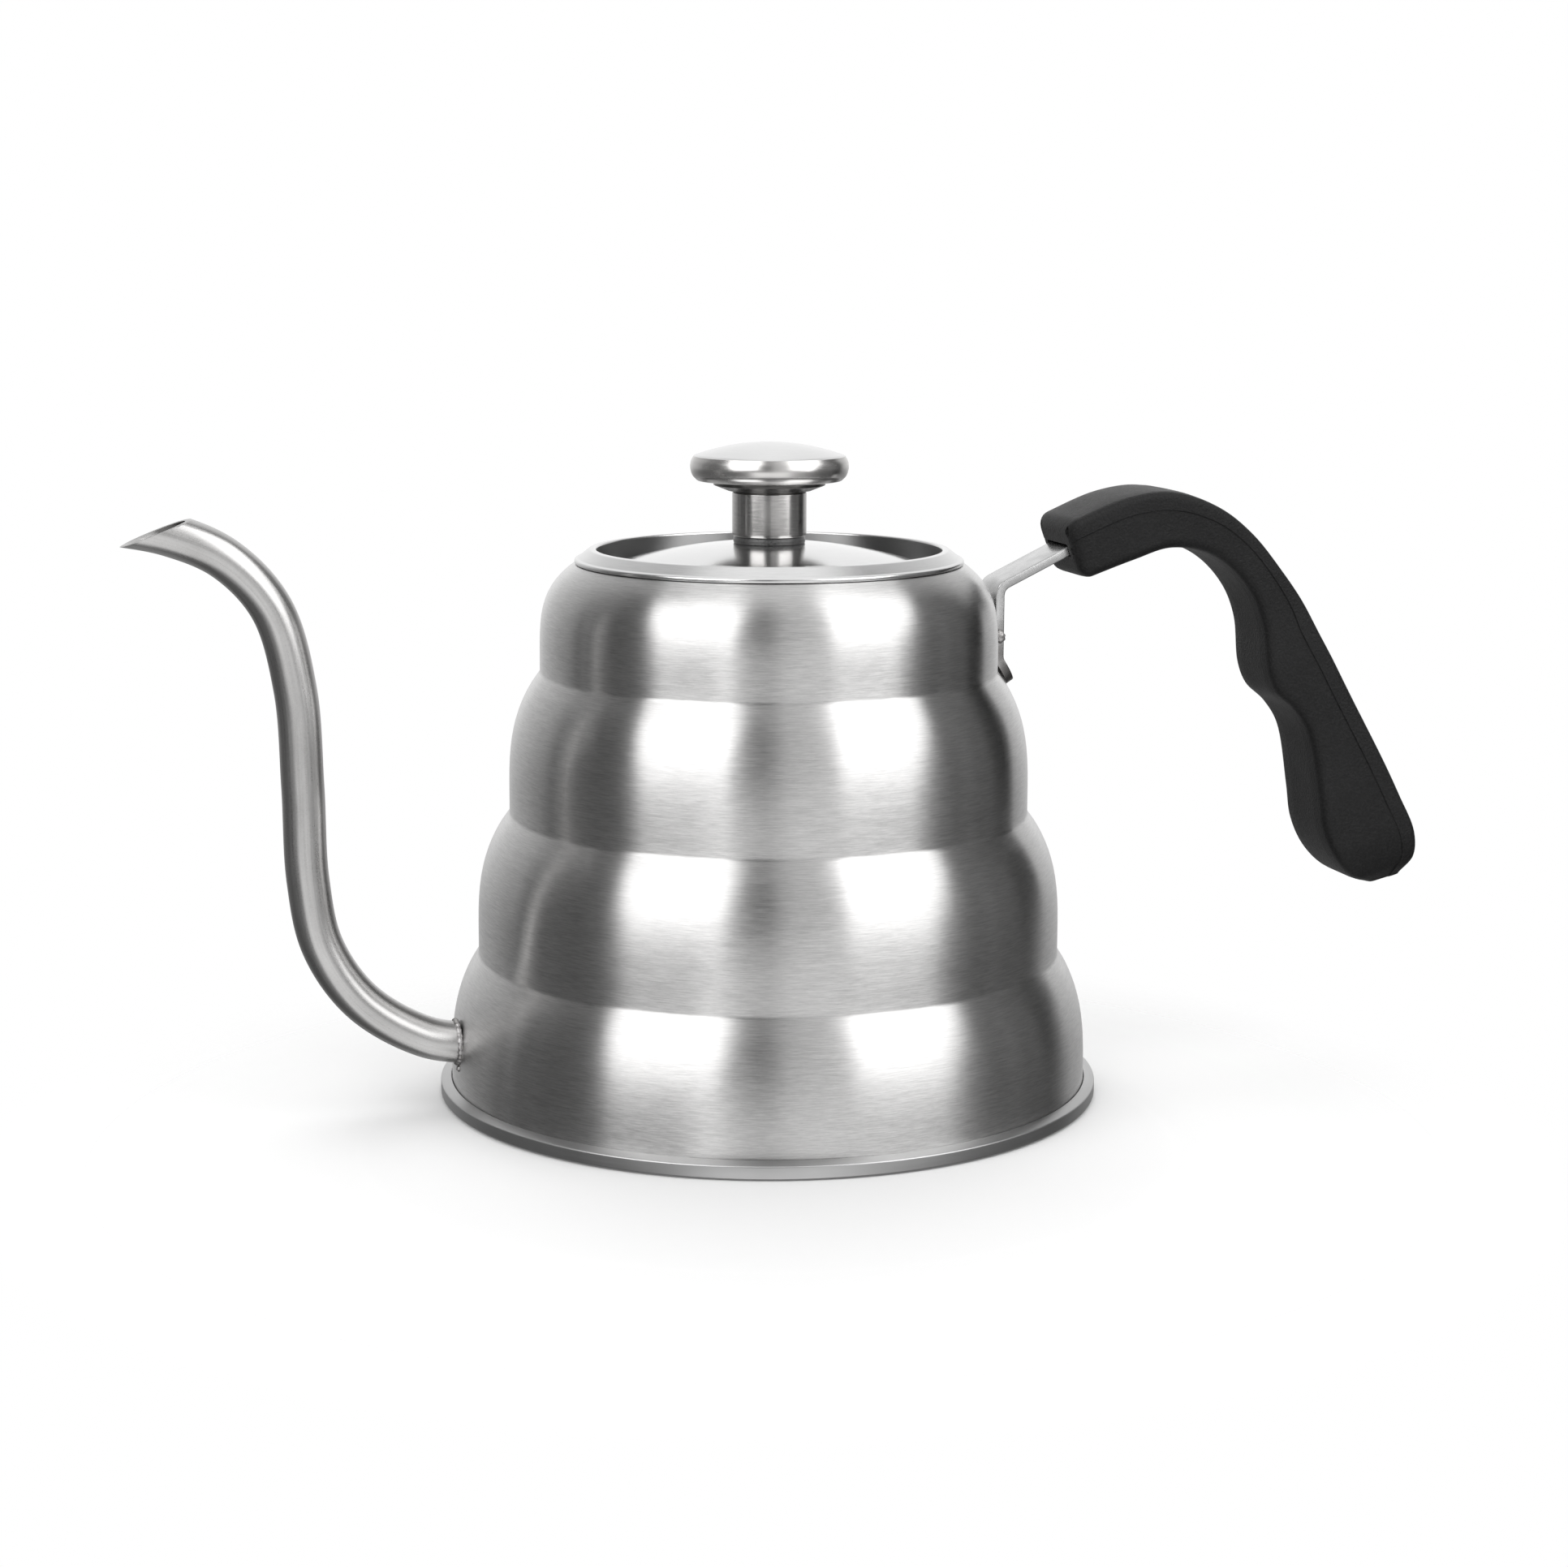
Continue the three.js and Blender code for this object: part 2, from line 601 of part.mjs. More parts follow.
add( 'body_shell', makeBodyShell(), brushedSteel );
add( 'mouth_rim', makeMouthRim(), polishedSteel );
add( 'base_pan', makeBasePan(), polishedSteel );
add( 'base_core', makeBaseCore(), aluminium );
add( 'base_cap', makeBaseCap(), brushedSteel );
add( 'spout_tube', makeSpoutTube(), brushedSteel );
add( 'spout_weld', makeSpoutWeld(), weldSteel );
add( 'handle_bracket', makeHandleBracket(), polishedSteel );
add( 'bracket_weld_left', makeBracketWeld( - 1 ), weldSteel );
add( 'bracket_weld_right', makeBracketWeld( 1 ), weldSteel );
add( 'handle_grip', makeHandleGrip(), blackResin );
add( 'handle_screw', toGeometry( screwSolid( 0 ) ), polishedSteel );
add( 'lid_plate', makeLidPlate(), polishedSteel );
add( 'lid_skirt', makeLidSkirt(), brushedSteel );
add( 'knob_gasket', ringAround( GASKET_RADIUS, SCREW_RADIUS + GAP, SEAT_Z + 0.1, STEM_BOTTOM_Z - 0.1 ),
	blackRubber );
add( 'knob_stem', ringAround( STEM_RADIUS, SCREW_RADIUS + GAP, STEM_BOTTOM_Z, STEM_TOP_Z ), brushedSteel );
add( 'knob_boss', makeKnobBoss(), polishedSteel );
add( 'knob_cap', makeKnobCap(), polishedSteel );
add( 'knob_washer', ringAround( WASHER_RADIUS, SCREW_RADIUS + GAP,
	WASHER_TOP_Z - WASHER_THICKNESS, WASHER_TOP_Z ), polishedSteel );
add( 'knob_screw', makeKnobScrew(), polishedSteel );

export default kettle;
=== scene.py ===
"""Stovetop gooseneck kettle: the visual model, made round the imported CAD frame."""
import math

import bmesh
import bpy
from mathutils import Matrix, Vector, noise


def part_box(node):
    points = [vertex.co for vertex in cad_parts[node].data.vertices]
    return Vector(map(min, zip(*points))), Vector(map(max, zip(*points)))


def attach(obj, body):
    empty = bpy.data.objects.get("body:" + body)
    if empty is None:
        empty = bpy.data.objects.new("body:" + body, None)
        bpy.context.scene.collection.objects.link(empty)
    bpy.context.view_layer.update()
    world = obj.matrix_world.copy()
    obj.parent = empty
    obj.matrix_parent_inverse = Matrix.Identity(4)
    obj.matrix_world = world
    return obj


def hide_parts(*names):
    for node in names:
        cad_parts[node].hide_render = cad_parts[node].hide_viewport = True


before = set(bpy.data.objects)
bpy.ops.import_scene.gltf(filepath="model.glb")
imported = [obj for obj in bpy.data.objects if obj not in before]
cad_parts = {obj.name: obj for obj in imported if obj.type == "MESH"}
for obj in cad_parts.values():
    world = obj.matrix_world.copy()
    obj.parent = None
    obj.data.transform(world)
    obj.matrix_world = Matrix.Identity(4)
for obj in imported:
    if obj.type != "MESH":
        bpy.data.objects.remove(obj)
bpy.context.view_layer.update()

# The kettle's sizes are in millimetres, and its meshes are scaled to metres as they are made.
# The studio's sizes, the merge distance and the materials' heights are in metres.
MM = 0.001


def highest(node, axis):
    """The upper end of a CAD node's box along an axis, in mm."""
    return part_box(node)[1][axis] / MM


def lowest(node, axis):
    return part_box(node)[0][axis] / MM


Y, Z = 1, 2

ROUND_SIDES = 192
SMALL_SIDES = 96
BORE_SIDES = 48
HOLE_SIDES = 40
TINY = 1e-6
MERGE_DISTANCE = 1e-7
ACROSS = Vector((0, 1, 0))

SHEET = 0.8
RING_RADIUS = highest("base_pan", Y)
LOBE_RADII = [70.0, 63.8, 56.7, 49.8]
CREASE_Z = [31.2, 62.1, 92.9]
CREASE_ROUNDING = 1.6
SHOULDER_HEIGHT, SHOULDER_POWER = 26.7, 3
TOP_SHOULDER_HEIGHT, TOP_SHOULDER_POWER = 24, 4.6
MOUTH_SEAM_RADIUS = 42.2
MOUTH_SEAM_Z = highest("body_shell", Z)

RIM_CREST_Z = highest("mouth_rim", Z)
RIM_BORE = 37.3
LEDGE_Z = 113.9
THROAT_RADIUS, THROAT_BOTTOM_Z = 34.6, 107

LID_RADIUS = highest("lid_plate", Y)
LID_APEX_Z, LID_FALL, LID_PAD_RADIUS = 121.0, 0.00447, 9
SEAT_Z = highest("lid_plate", Z)
SKIRT_RADIUS = highest("lid_skirt", Y)
CAP_RADIUS = highest("knob_cap", Y)
CAP_BOTTOM_Z, CAP_TOP_Z = lowest("knob_cap", Z), highest("knob_cap", Z)
BOSS_RADIUS = highest("knob_boss", Y)
SCREW_RADIUS = 2

TUBE_RADIUS, TUBE_WALL = 4.5, 0.8
TUBE_BORE = TUBE_RADIUS - TUBE_WALL
SPOUT_ROOT = Vector((-70.3, 0, 14.35))
SPOUT_RISE = 0.225
SPOUT_HEADING = Vector((-1, 0, SPOUT_RISE))
TIP = (-137.6, 123.0)
TIP_CUT = math.radians(20.9)

STRAP_WIDTH = highest("handle_bracket", Y) - lowest("handle_bracket", Y)
STRAP_THICKNESS = 2
LEG_X, FOOT_BEND_Z, FOOT_END = 51.3, 94, (54.7, 88.7)
ARM_SLOPE = math.radians(25.6)
ARM_CORNER_Z = 110.1
ARM_LENGTH = 34
GRIP_SCREW_ALONG = 25

VIEW_AZIMUTH = -16
VIEW_POINT = (-176.9, -629.2, 185.7)
VIEW_PITCH = -10.236
VIEW_ROLL = 0.213
VIEW_LENS = 69.45

# How far from its centre the floor starts to clear, and where it is gone.
FLOOR_FADE = (0.085, 0.165)
FLOOR_CENTRE = (-0.0115, -0.04, -0.0002)


# Mesh helpers ------------------------

def clean(work):
    """Merges doubled points, and turns the faces outwards."""
    bmesh.ops.remove_doubles(work, verts=work.verts, dist=MERGE_DISTANCE)
    bmesh.ops.recalc_face_normals(work, faces=work.faces)


def blank(name, vertices, faces):
    """An object made from points in mm, still to be cut or dressed."""
    mesh = bpy.data.meshes.new(name)
    mesh.from_pydata([Vector(v) * MM for v in vertices], [], faces)
    work = bmesh.new()
    work.from_mesh(mesh)
    clean(work)
    work.to_mesh(mesh)
    work.free()
    built = bpy.data.objects.new(name, mesh)
    bpy.context.scene.collection.objects.link(built)
    return built


def dress(built, material, body, node, sharp=38):
    """Finishes an object. Edges that turn by more than sharp degrees stay crisp."""
    mesh = built.data
    work = bmesh.new()
    work.from_mesh(mesh)
    clean(work)
    for edge in work.edges:
        edge.smooth = edge.calc_face_angle(0) < math.radians(sharp)
    for face in work.faces:
        face.smooth = True
    work.to_mesh(mesh)
    work.free()
    mesh.materials.clear()
    mesh.materials.append(material)
    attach(built, body)
    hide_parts(node)
    return built


def piece(name, vertices, faces, material, body, node, slot, sharp=38):
    """A finished object made from points in mm."""
    return dress(blank(name, vertices, faces), material, body, node, sharp)


def rounded_path(corners, closed=True, steps=5):
    """Points along a path of (x, y) or (x, y, radius) corners, rounded where there is a radius."""
    sharpest, most_of_side = 0.05, 0.48
    points = []
    for i, (x, y, *radius) in enumerate(corners):
        here = Vector((x, y))
        if not radius or (not closed and i in (0, len(corners) - 1)):
            points.append(here)
            continue
        back = Vector(corners[i - 1][:2]) - here
        on = Vector(corners[(i + 1) % len(corners)][:2]) - here
        reach = radius[0] / math.tan(max(back.angle(on), sharpest) / 2)
        reach = min(reach, most_of_side * back.length, most_of_side * on.length)
        start, end = here + back.normalized() * reach, here + on.normalized() * reach
        for k in range(steps + 1):
            t = k / steps
            points.append(start.lerp(here, t).lerp(here.lerp(end, t), t))
    return points


def turned(outline, sides=ROUND_SIDES):
    """Vertices and faces of a closed outline of (radius, height) points turned about the axis."""
    vertices, rings = [], []
    for radius, height in outline:
        if radius < TINY:
            rings.append([len(vertices)] * sides)
            vertices.append((0, 0, height))
            continue
        rings.append(list(range(len(vertices), len(vertices) + sides)))
        for k in range(sides):
            angle = 2 * math.pi * k / sides
            vertices.append((radius * math.cos(angle), radius * math.sin(angle), height))
    faces = []
    for ring, following in zip(rings, rings[1:] + rings[:1]):
        for k in range(sides):
            corners = [ring[k], ring[(k + 1) % sides], following[(k + 1) % sides], following[k]]
            face = list(dict.fromkeys(corners))
            if len(face) > 2:
                faces.append(face)
    return vertices, faces


def loft(rings, closed=False):
    """Vertices and faces of a skin through rings of equal length, capped at both ends."""
    count, last = len(rings[0]), len(rings) - 1
    vertices = [point for ring in rings for point in ring]
    faces = []
    spans = len(rings) if closed else last
    for i in range(spans):
        near, far = i * count, (i + 1) % len(rings) * count
        for j in range(count):
            k = (j + 1) % count
            faces.append([near + j, near + k, far + k, far + j])
    if not closed:
        faces.append(list(range(count)))
        faces.append([last * count + j for j in reversed(range(count))])
    return vertices, faces


def curve_through(points, per_span=24):
    """A centripetal Catmull-Rom curve through the points, as a fine list of points."""
    points = [Vector(p) for p in points]
    points = [2 * points[0] - points[1], *points, 2 * points[-1] - points[-2]]
    fine = []
    for p0, p1, p2, p3 in zip(points, points[1:], points[2:], points[3:]):
        d0, d1, d2 = (max((b - a).length, TINY) ** 0.5 for a, b in ((p0, p1), (p1, p2), (p2, p3)))
        m1 = ((p1 - p0) / d0 - (p2 - p0) / (d0 + d1) + (p2 - p1) / d1) * d1
        m2 = ((p2 - p1) / d1 - (p3 - p1) / (d1 + d2) + (p3 - p2) / d2) * d1
        for k in range(per_span):
            t = k / per_span
            fine.append(p1 + m1 * t + (3 * (p2 - p1) - 2 * m1 - m2) * t ** 2
                        + (2 * (p1 - p2) + m1 + m2) * t ** 3)
    return fine + [points[-2]]


def along(path, fraction):
    """The point at a fraction of the way through a fine list of points."""
    place = min(max(fraction, 0), 1) * (len(path) - 1)
    i = min(int(place), len(path) - 2)
    return path[i].lerp(path[i + 1], place - i)


def cut_away(built, tools):
    """Cuts closed tool meshes, given as vertices and faces in mm, out of an object."""
    for vertices, faces in tools:
        tool = blank("tool", vertices, faces)
        step = built.modifiers.new("cut", "BOOLEAN")
        step.operation, step.solver, step.object = "DIFFERENCE", "EXACT", tool
        bpy.context.view_layer.update()
        cut = built.evaluated_get(bpy.context.evaluated_depsgraph_get())
        result = bpy.data.meshes.new_from_object(cut)
        built.modifiers.clear()
        built.data = result
        bpy.data.objects.remove(tool)


def placed(vertices, origin, up):
    """Moves points made about the Z axis so that Z lies along up and Y stays across."""
    up = Vector(up).normalized()
    side = ACROSS.cross(up).normalized()
    turn = Matrix((side, up.cross(side), up)).transposed()
    return [turn @ Vector(v) + Vector(origin) for v in vertices]


def block(low, high):
    """Vertices and faces of a box between two corners."""
    xs, ys, zs = zip(low, high)
    vertices = [(x, y, z) for x in xs for y in ys for z in zs]
    faces = [(0, 1, 3, 2), (4, 6, 7, 5), (0, 4, 5, 1), (2, 3, 7, 6), (0, 2, 6, 4), (1, 5, 7, 3)]
    return vertices, faces


# Materials ------------------------

def of_colour(sockets):
    return [socket for socket in sockets if socket.type == "RGBA"]


class Nodes:
    """Short ways to add nodes to a tree."""

    def __init__(self, tree):
        self.tree = tree

    def node(self, kind, inputs=None, **settings):
        made = self.tree.nodes.new(kind)
        for setting, value in settings.items():
            setattr(made, setting, value)
        for socket, value in (inputs or {}).items():
            self.give(made.inputs[socket], value)
        return made

    def give(self, socket, value):
        """Links a socket to another, or sets its value."""
        if isinstance(value, bpy.types.NodeSocket):
            self.tree.links.new(value, socket)
        else:
            socket.default_value = value

    def sum(self, operation, *values):
        return self.node("ShaderNodeMath", dict(enumerate(values)), operation=operation).outputs[0]

    def share(self, first, part, second):
        """Two values added in shares of part and 1 - part."""
        return self.sum("ADD", self.sum("MULTIPLY", first, part), self.sum("MULTIPLY", second, 1 - part))

    def ranged(self, value, low, high, to_low, to_high, **settings):
        return self.node("ShaderNodeMapRange", {"Value": value, "From Min": low, "From Max": high,
                                                "To Min": to_low, "To Max": to_high}, **settings).outputs[0]

    def mixed(self, factor, first, second):
        made = self.node("ShaderNodeMix", {"Factor": factor}, data_type="RGBA")
        for socket, value in zip(of_colour(made.inputs), (first, second)):
            self.give(socket, value if isinstance(value, bpy.types.NodeSocket) else (*value, 1))
        return of_colour(made.outputs)[0]


class Look(Nodes):
    """A material being made: its shader, and the patterns that feed it."""

    def __init__(self, name, colour, **sockets):
        self.material = bpy.data.materials.new(name)
        self.material.use_nodes = True
        super().__init__(self.material.node_tree)
        self.shader = self.tree.nodes["Principled BSDF"]
        self.shader.inputs["Base Color"].default_value = (*colour, 1)
        for socket, value in sockets.items():
            self.shader.inputs[socket.replace("_", " ")].default_value = value

    def place(self):
        return self.node("ShaderNodeTexCoord").outputs["Object"]

    def noise(self, vector, scale=1.0, detail=2.0, roughness=0.5):
        return self.node("ShaderNodeTexNoise", {"Vector": vector, "Scale": scale, "Detail": detail,
                                                "Roughness": roughness}).outputs["Fac"]

    def stretched(self, vector, factors):
        return self.node("ShaderNodeVectorMath", {0: vector, 1: factors}, operation="MULTIPLY").outputs[0]

    def distance(self, vector):
        return self.node("ShaderNodeVectorMath", {0: vector}, operation="LENGTH").outputs["Value"]

    def turned_grain(self, round_scale, cross_scale):
        """Coordinates whose noise runs in rings round the Z axis."""
        at = self.place()
        radius = self.distance(self.stretched(at, (1, 1, 0)))
        parts = self.node("ShaderNodeSeparateXYZ", {0: at}).outputs
        across = self.sum("MULTIPLY", self.sum("SUBTRACT", parts["Z"], radius), cross_scale)
        return self.node("ShaderNodeCombineXYZ", {
            "X": self.sum("MULTIPLY", parts["X"], round_scale),
            "Y": self.sum("MULTIPLY", parts["Y"], round_scale), "Z": across}).outputs[0]

    def feed(self, socket, value):
        self.tree.links.new(value, self.shader.inputs[socket])

    def bump(self, height, strength, distance):
        """Feeds the shader's normal from a height, raised by a distance in metres."""
        raised = self.node("ShaderNodeBump", {"Height": height, "Strength": strength, "Distance": distance})
        self.feed("Normal", raised.outputs["Normal"])


GRAIN_HEIGHT = 0.0001


def brushed(name, colour, darker, roughness, anisotropic, streak=0.05, fine=2600, cloud=0.05, bump=0.06):
    """Steel brushed in rings round the Z axis."""
    look = Look(name, colour, Metallic=1.0, Anisotropic=anisotropic, Anisotropic_Rotation=0.25)
    hair = look.noise(look.turned_grain(260, 1.6 * fine), detail=4, roughness=0.75)
    band = look.noise(look.turned_grain(60, fine / 3), detail=2)
    grain = look.share(hair, 0.85, band)
    smudge = look.noise(look.place(), scale=38, detail=3)
    tone = look.sum("ADD", look.ranged(grain, 0.3, 0.7, -streak, streak),
                    look.ranged(smudge, 0.3, 0.7, -cloud, cloud))
    look.feed("Base Color", look.mixed(look.sum("ADD", tone, 0.5), darker, colour))
    rough = look.ranged(grain, 0.25, 0.75, roughness - 0.04, roughness + 0.04)
    look.feed("Roughness", look.sum("ADD", rough, look.ranged(smudge, 0.3, 0.7, -0.015, 0.015)))
    look.bump(grain, bump, GRAIN_HEIGHT)
    tangent = look.node("ShaderNodeTangent", direction_type="RADIAL", axis="Z")
    look.feed("Tangent", tangent.outputs[0])
    return look.material


def polished(name, colour, darker, roughness):
    """Bright steel with faint polishing marks."""
    look = Look(name, colour, Metallic=1.0)
    marks = look.noise(look.turned_grain(60, 1500), detail=3, roughness=0.6)
    smudge = look.noise(look.place(), scale=60, detail=4)
    look.feed("Base Color", look.mixed(look.ranged(smudge, 0.3, 0.7, 0.2, 0.8), darker, colour))
    rough = look.ranged(marks, 0.3, 0.7, roughness - 0.02, roughness + 0.03)
    look.feed("Roughness", look.sum("ADD", rough, look.ranged(smudge, 0.35, 0.75, 0, 0.03)))
    look.bump(marks, 0.03, GRAIN_HEIGHT)
    return look.material


def drawn_tube(name, colour, darker, roughness):
    """Steel brushed along a tube, whose map runs round it in U and along it in V."""
    look = Look(name, colour, Metallic=1.0)
    uv = look.node("ShaderNodeUVMap", uv_map="grain").outputs[0]
    lines = look.noise(look.stretched(uv, (1.3, 0.02, 1)), scale=1.6, detail=3, roughness=0.6)
    speck = look.noise(look.place(), scale=2600, detail=2)
    smudge = look.noise(look.stretched(uv, (0.1, 0.03, 1)), scale=1.5, detail=3)
    grain = look.share(lines, 0.7, speck)
    tone = look.share(grain, 0.6, smudge)
    look.feed("Base Color", look.mixed(look.ranged(tone, 0.3, 0.7, 0.0, 1.0), darker, colour))
    look.feed("Roughness", look.ranged(grain, 0.3, 0.7, roughness - 0.04, roughness + 0.05))
    look.bump(grain, 0.07, GRAIN_HEIGHT)
    return look.material


def sheet_steel(name, colour, darker, roughness):
    """Plain sheet metal: grained flat faces with no one direction."""
    look = Look(name, colour, Metallic=1.0)
    grain = look.noise(look.place(), scale=2200, detail=3, roughness=0.6)
    smudge = look.noise(look.place(), scale=110, detail=3)
    look.feed("Base Color", look.mixed(look.ranged(smudge, 0.35, 0.7, 0.0, 1.0), darker, colour))
    look.feed("Roughness", look.ranged(grain, 0.3, 0.7, roughness - 0.05, roughness + 0.06))
    look.bump(look.sum("ADD", grain, look.sum("MULTIPLY", smudge, 2.0)), 0.12, GRAIN_HEIGHT)
    return look.material


def shaded_at_foot(name, colour, darker, roughness):
    """Sheet steel with painted shade: darker over its foot and leg low down, clearing higher up."""
    look = Look(name, colour, Metallic=1.0)
    grain = look.noise(look.place(), scale=3200, detail=3, roughness=0.6)
    smudge = look.noise(look.place(), scale=260, detail=3)
    plain = look.mixed(look.ranged(smudge, 0.35, 0.7, 0.0, 1.0), darker, colour)
    height = look.node("ShaderNodeSeparateXYZ", {0: look.place()}).outputs["Z"]
    uneven = look.sum("ADD", height, look.sum("MULTIPLY", smudge, 0.012))
    # Painted shade: low on the strap the steel is mixed far towards dark grey, and it clears higher up.
    shaded_to, lit_from = 0.098, 0.112
    painted_shade = look.ranged(uneven, shaded_to, lit_from, 0.85, 0.0)
    look.feed("Base Color", look.mixed(painted_shade, plain, (0.2, 0.19, 0.185)))
    look.feed("Roughness", look.ranged(grain, 0.3, 0.7, roughness - 0.05, roughness + 0.06))
    look.bump(grain, 0.04, GRAIN_HEIGHT)
    return look.material


def welded(name, colour, darker, lighter):
    """A weld bead: dull, pitted, and tinted by the heat."""
    look = Look(name, colour, Metallic=1.0)
    pits = look.noise(look.place(), scale=1800, detail=4, roughness=0.7)
    tint = look.noise(look.place(), scale=420, detail=2)
    look.feed("Base Color", look.mixed(look.ranged(tint, 0.35, 0.65, 0, 1), darker, lighter))
    look.feed("Roughness", look.ranged(pits, 0.3, 0.7, 0.32, 0.6))
    look.bump(pits, 0.6, 2 * GRAIN_HEIGHT)
    return look.material


def moulded(name, colour, lighter, roughness, grain_scale, bump, specular=0.5):
    """Moulded plastic or rubber with a fine even texture."""
    look = Look(name, colour, Metallic=0.0, Specular_IOR_Level=specular)
    grain = look.noise(look.place(), scale=grain_scale, detail=3, roughness=0.7)
    wear = look.noise(look.place(), scale=70, detail=4, roughness=0.6)
    worn = look.ranged(wear, 0.35, 0.75, 0.0, 0.3)
    tone = look.sum("ADD", worn, look.ranged(grain, 0.45, 0.65, 0.0, 0.6))
    look.feed("Base Color", look.mixed(tone, colour, lighter))
    rough = look.ranged(grain, 0.3, 0.7, roughness - 0.06, roughness + 0.06)
    look.feed("Roughness", look.sum("ADD", rough, look.ranged(wear, 0.3, 0.7, -0.03, 0.04)))
    look.bump(grain, bump, 2.5 * GRAIN_HEIGHT)
    return look.material


def pale_floor():
    """Matte and almost white, with the faintest unevenness, and clear far from the kettle."""
    look = Look("pale_floor", (0.72, 0.72, 0.72), Roughness=0.9, Specular_IOR_Level=0.1)
    cloud = look.noise(look.place(), scale=9, detail=2)
    look.feed("Base Color", look.mixed(cloud, (0.71, 0.71, 0.71), (0.73, 0.73, 0.73)))
    look.feed("Alpha", look.ranged(look.distance(look.place()), *FLOOR_FADE, 1, 0))
    return look.material


def grey(value):
    return (value, value, value)


satin = brushed("satin_steel", (0.68, 0.675, 0.67), (0.5, 0.497, 0.495), 0.32, 0.95,
                streak=0.75, cloud=0.1)
turned_satin = brushed("turned_satin", grey(0.78), grey(0.64), 0.24, 0.35, streak=0.3, fine=2000, bump=0.04)
dome_steel = brushed("dome_steel", grey(0.78), grey(0.64), 0.17, 0.3, streak=0.3, fine=1800, bump=0.03)
stem_steel = brushed("stem_steel", (0.58, 0.57, 0.56), (0.4, 0.395, 0.39), 0.22, 0.6,
                     streak=0.4, fine=2400)
# Very dark steel for the collar's bore and throat: painted shade inside the mouth.
shaded_bore_steel = brushed("shaded_bore_steel", grey(0.3), grey(0.2), 0.34, 0.5)
bright = polished("polished_steel", grey(0.72), grey(0.62), 0.13)
cap_side = polished("cap_side", (0.7, 0.69, 0.68), (0.6, 0.59, 0.58), 0.24)
ring_steel = polished("ring_steel", grey(0.54), grey(0.43), 0.34)
# Near-black polished steel for the boss under the cap: painted shade on a face that looks down.
shaded_boss_steel = polished("shaded_boss_steel", (0.16, 0.155, 0.15), (0.09, 0.088, 0.085), 0.25)
tube_steel = drawn_tube("spout_steel", (0.62, 0.615, 0.61), (0.38, 0.375, 0.37), 0.29)
# The strap's steel carries painted shade over its foot and leg.
strap_steel = shaded_at_foot("strap_steel", grey(0.66), grey(0.53), 0.25)
weld_steel = welded("weld_steel", (0.34, 0.34, 0.35), (0.3, 0.29, 0.28), (0.58, 0.57, 0.57))
aluminium = sheet_steel("core_aluminium", (0.66, 0.67, 0.68), (0.55, 0.56, 0.57), 0.4)
resin = moulded("grip_resin", (0.003, 0.003, 0.0031), (0.013, 0.013, 0.0134), 0.45, 1900, 1.0,
                specular=0.27)
rubber = moulded("gasket_rubber", grey(0.05), grey(0.09), 0.3, 1200, 0.1)


# Body ------------------------

def shoulder(wall, end, top_z, height, power, fractions):
    """Points up a wall that curves in from one radius to another at its top."""
    return [(wall - (wall - end) * t ** power, top_z - height * (1 - t)) for t in fractions]


def body_wall():
    """Outer outline of the stepped wall, from the foot flange up to the mouth."""
    fractions = [0, 0.1, 0.2, 0.3, 0.38, 0.46, 0.54, 0.61, 0.68, 0.74, 0.8, 0.85, 0.89]
    above_crease = 2.4
    points = []
    for wall, following, top_z in zip(LOBE_RADII, LOBE_RADII[1:], CREASE_Z):
        points += shoulder(wall, following, top_z, SHOULDER_HEIGHT, SHOULDER_POWER, fractions)
        points.append((following, top_z, CREASE_ROUNDING))
        points.append((following, top_z + above_crease))
    points += shoulder(LOBE_RADII[-1], MOUTH_SEAM_RADIUS, MOUTH_SEAM_Z,
                       TOP_SHOULDER_HEIGHT, TOP_SHOULDER_POWER, fractions[3:] + [0.93, 0.965])
    return points


def make_body():
    """The stepped shell, with its flange, its lip and the hole that the spout opens into."""
    flange_z, flange_width, flange_thickness = 1.65, 1.4, 0.75
    lip_width, lip_return, lip_rounding = 2.6, 0.6, 0.5
    wall, lip = LOBE_RADII[0], MOUTH_SEAM_RADIUS
    outside = rounded_path(body_wall(), closed=False)
    inside = [point - Vector((SHEET, 0)) for point in outside[::2] if point.y < MOUTH_SEAM_Z - 1.5]
    outline = [
        (wall - SHEET, flange_z), (wall + flange_width, flange_z),
        (wall + flange_width, flange_z + flange_thickness), (wall, flange_z + flange_thickness),
        *outside,
        *rounded_path([outside[-1], (lip, MOUTH_SEAM_Z, lip_rounding), (lip - lip_width, MOUTH_SEAM_Z)],
                      closed=False)[1:],
        (lip - lip_width, MOUTH_SEAM_Z - SHEET), (lip - lip_return, MOUTH_SEAM_Z - SHEET),
        *reversed(inside),
    ]
    body = blank("body", *turned(outline))
    reach = 6
    bore = [(0, -reach), (TUBE_BORE, -reach), (TUBE_BORE, reach), (0, reach)]
    vertices, faces = turned(bore, BORE_SIDES)
    cut_away(body, [(placed(vertices, SPOUT_ROOT, SPOUT_HEADING), faces)])
    dress(body, satin, "kettle", "body_shell")


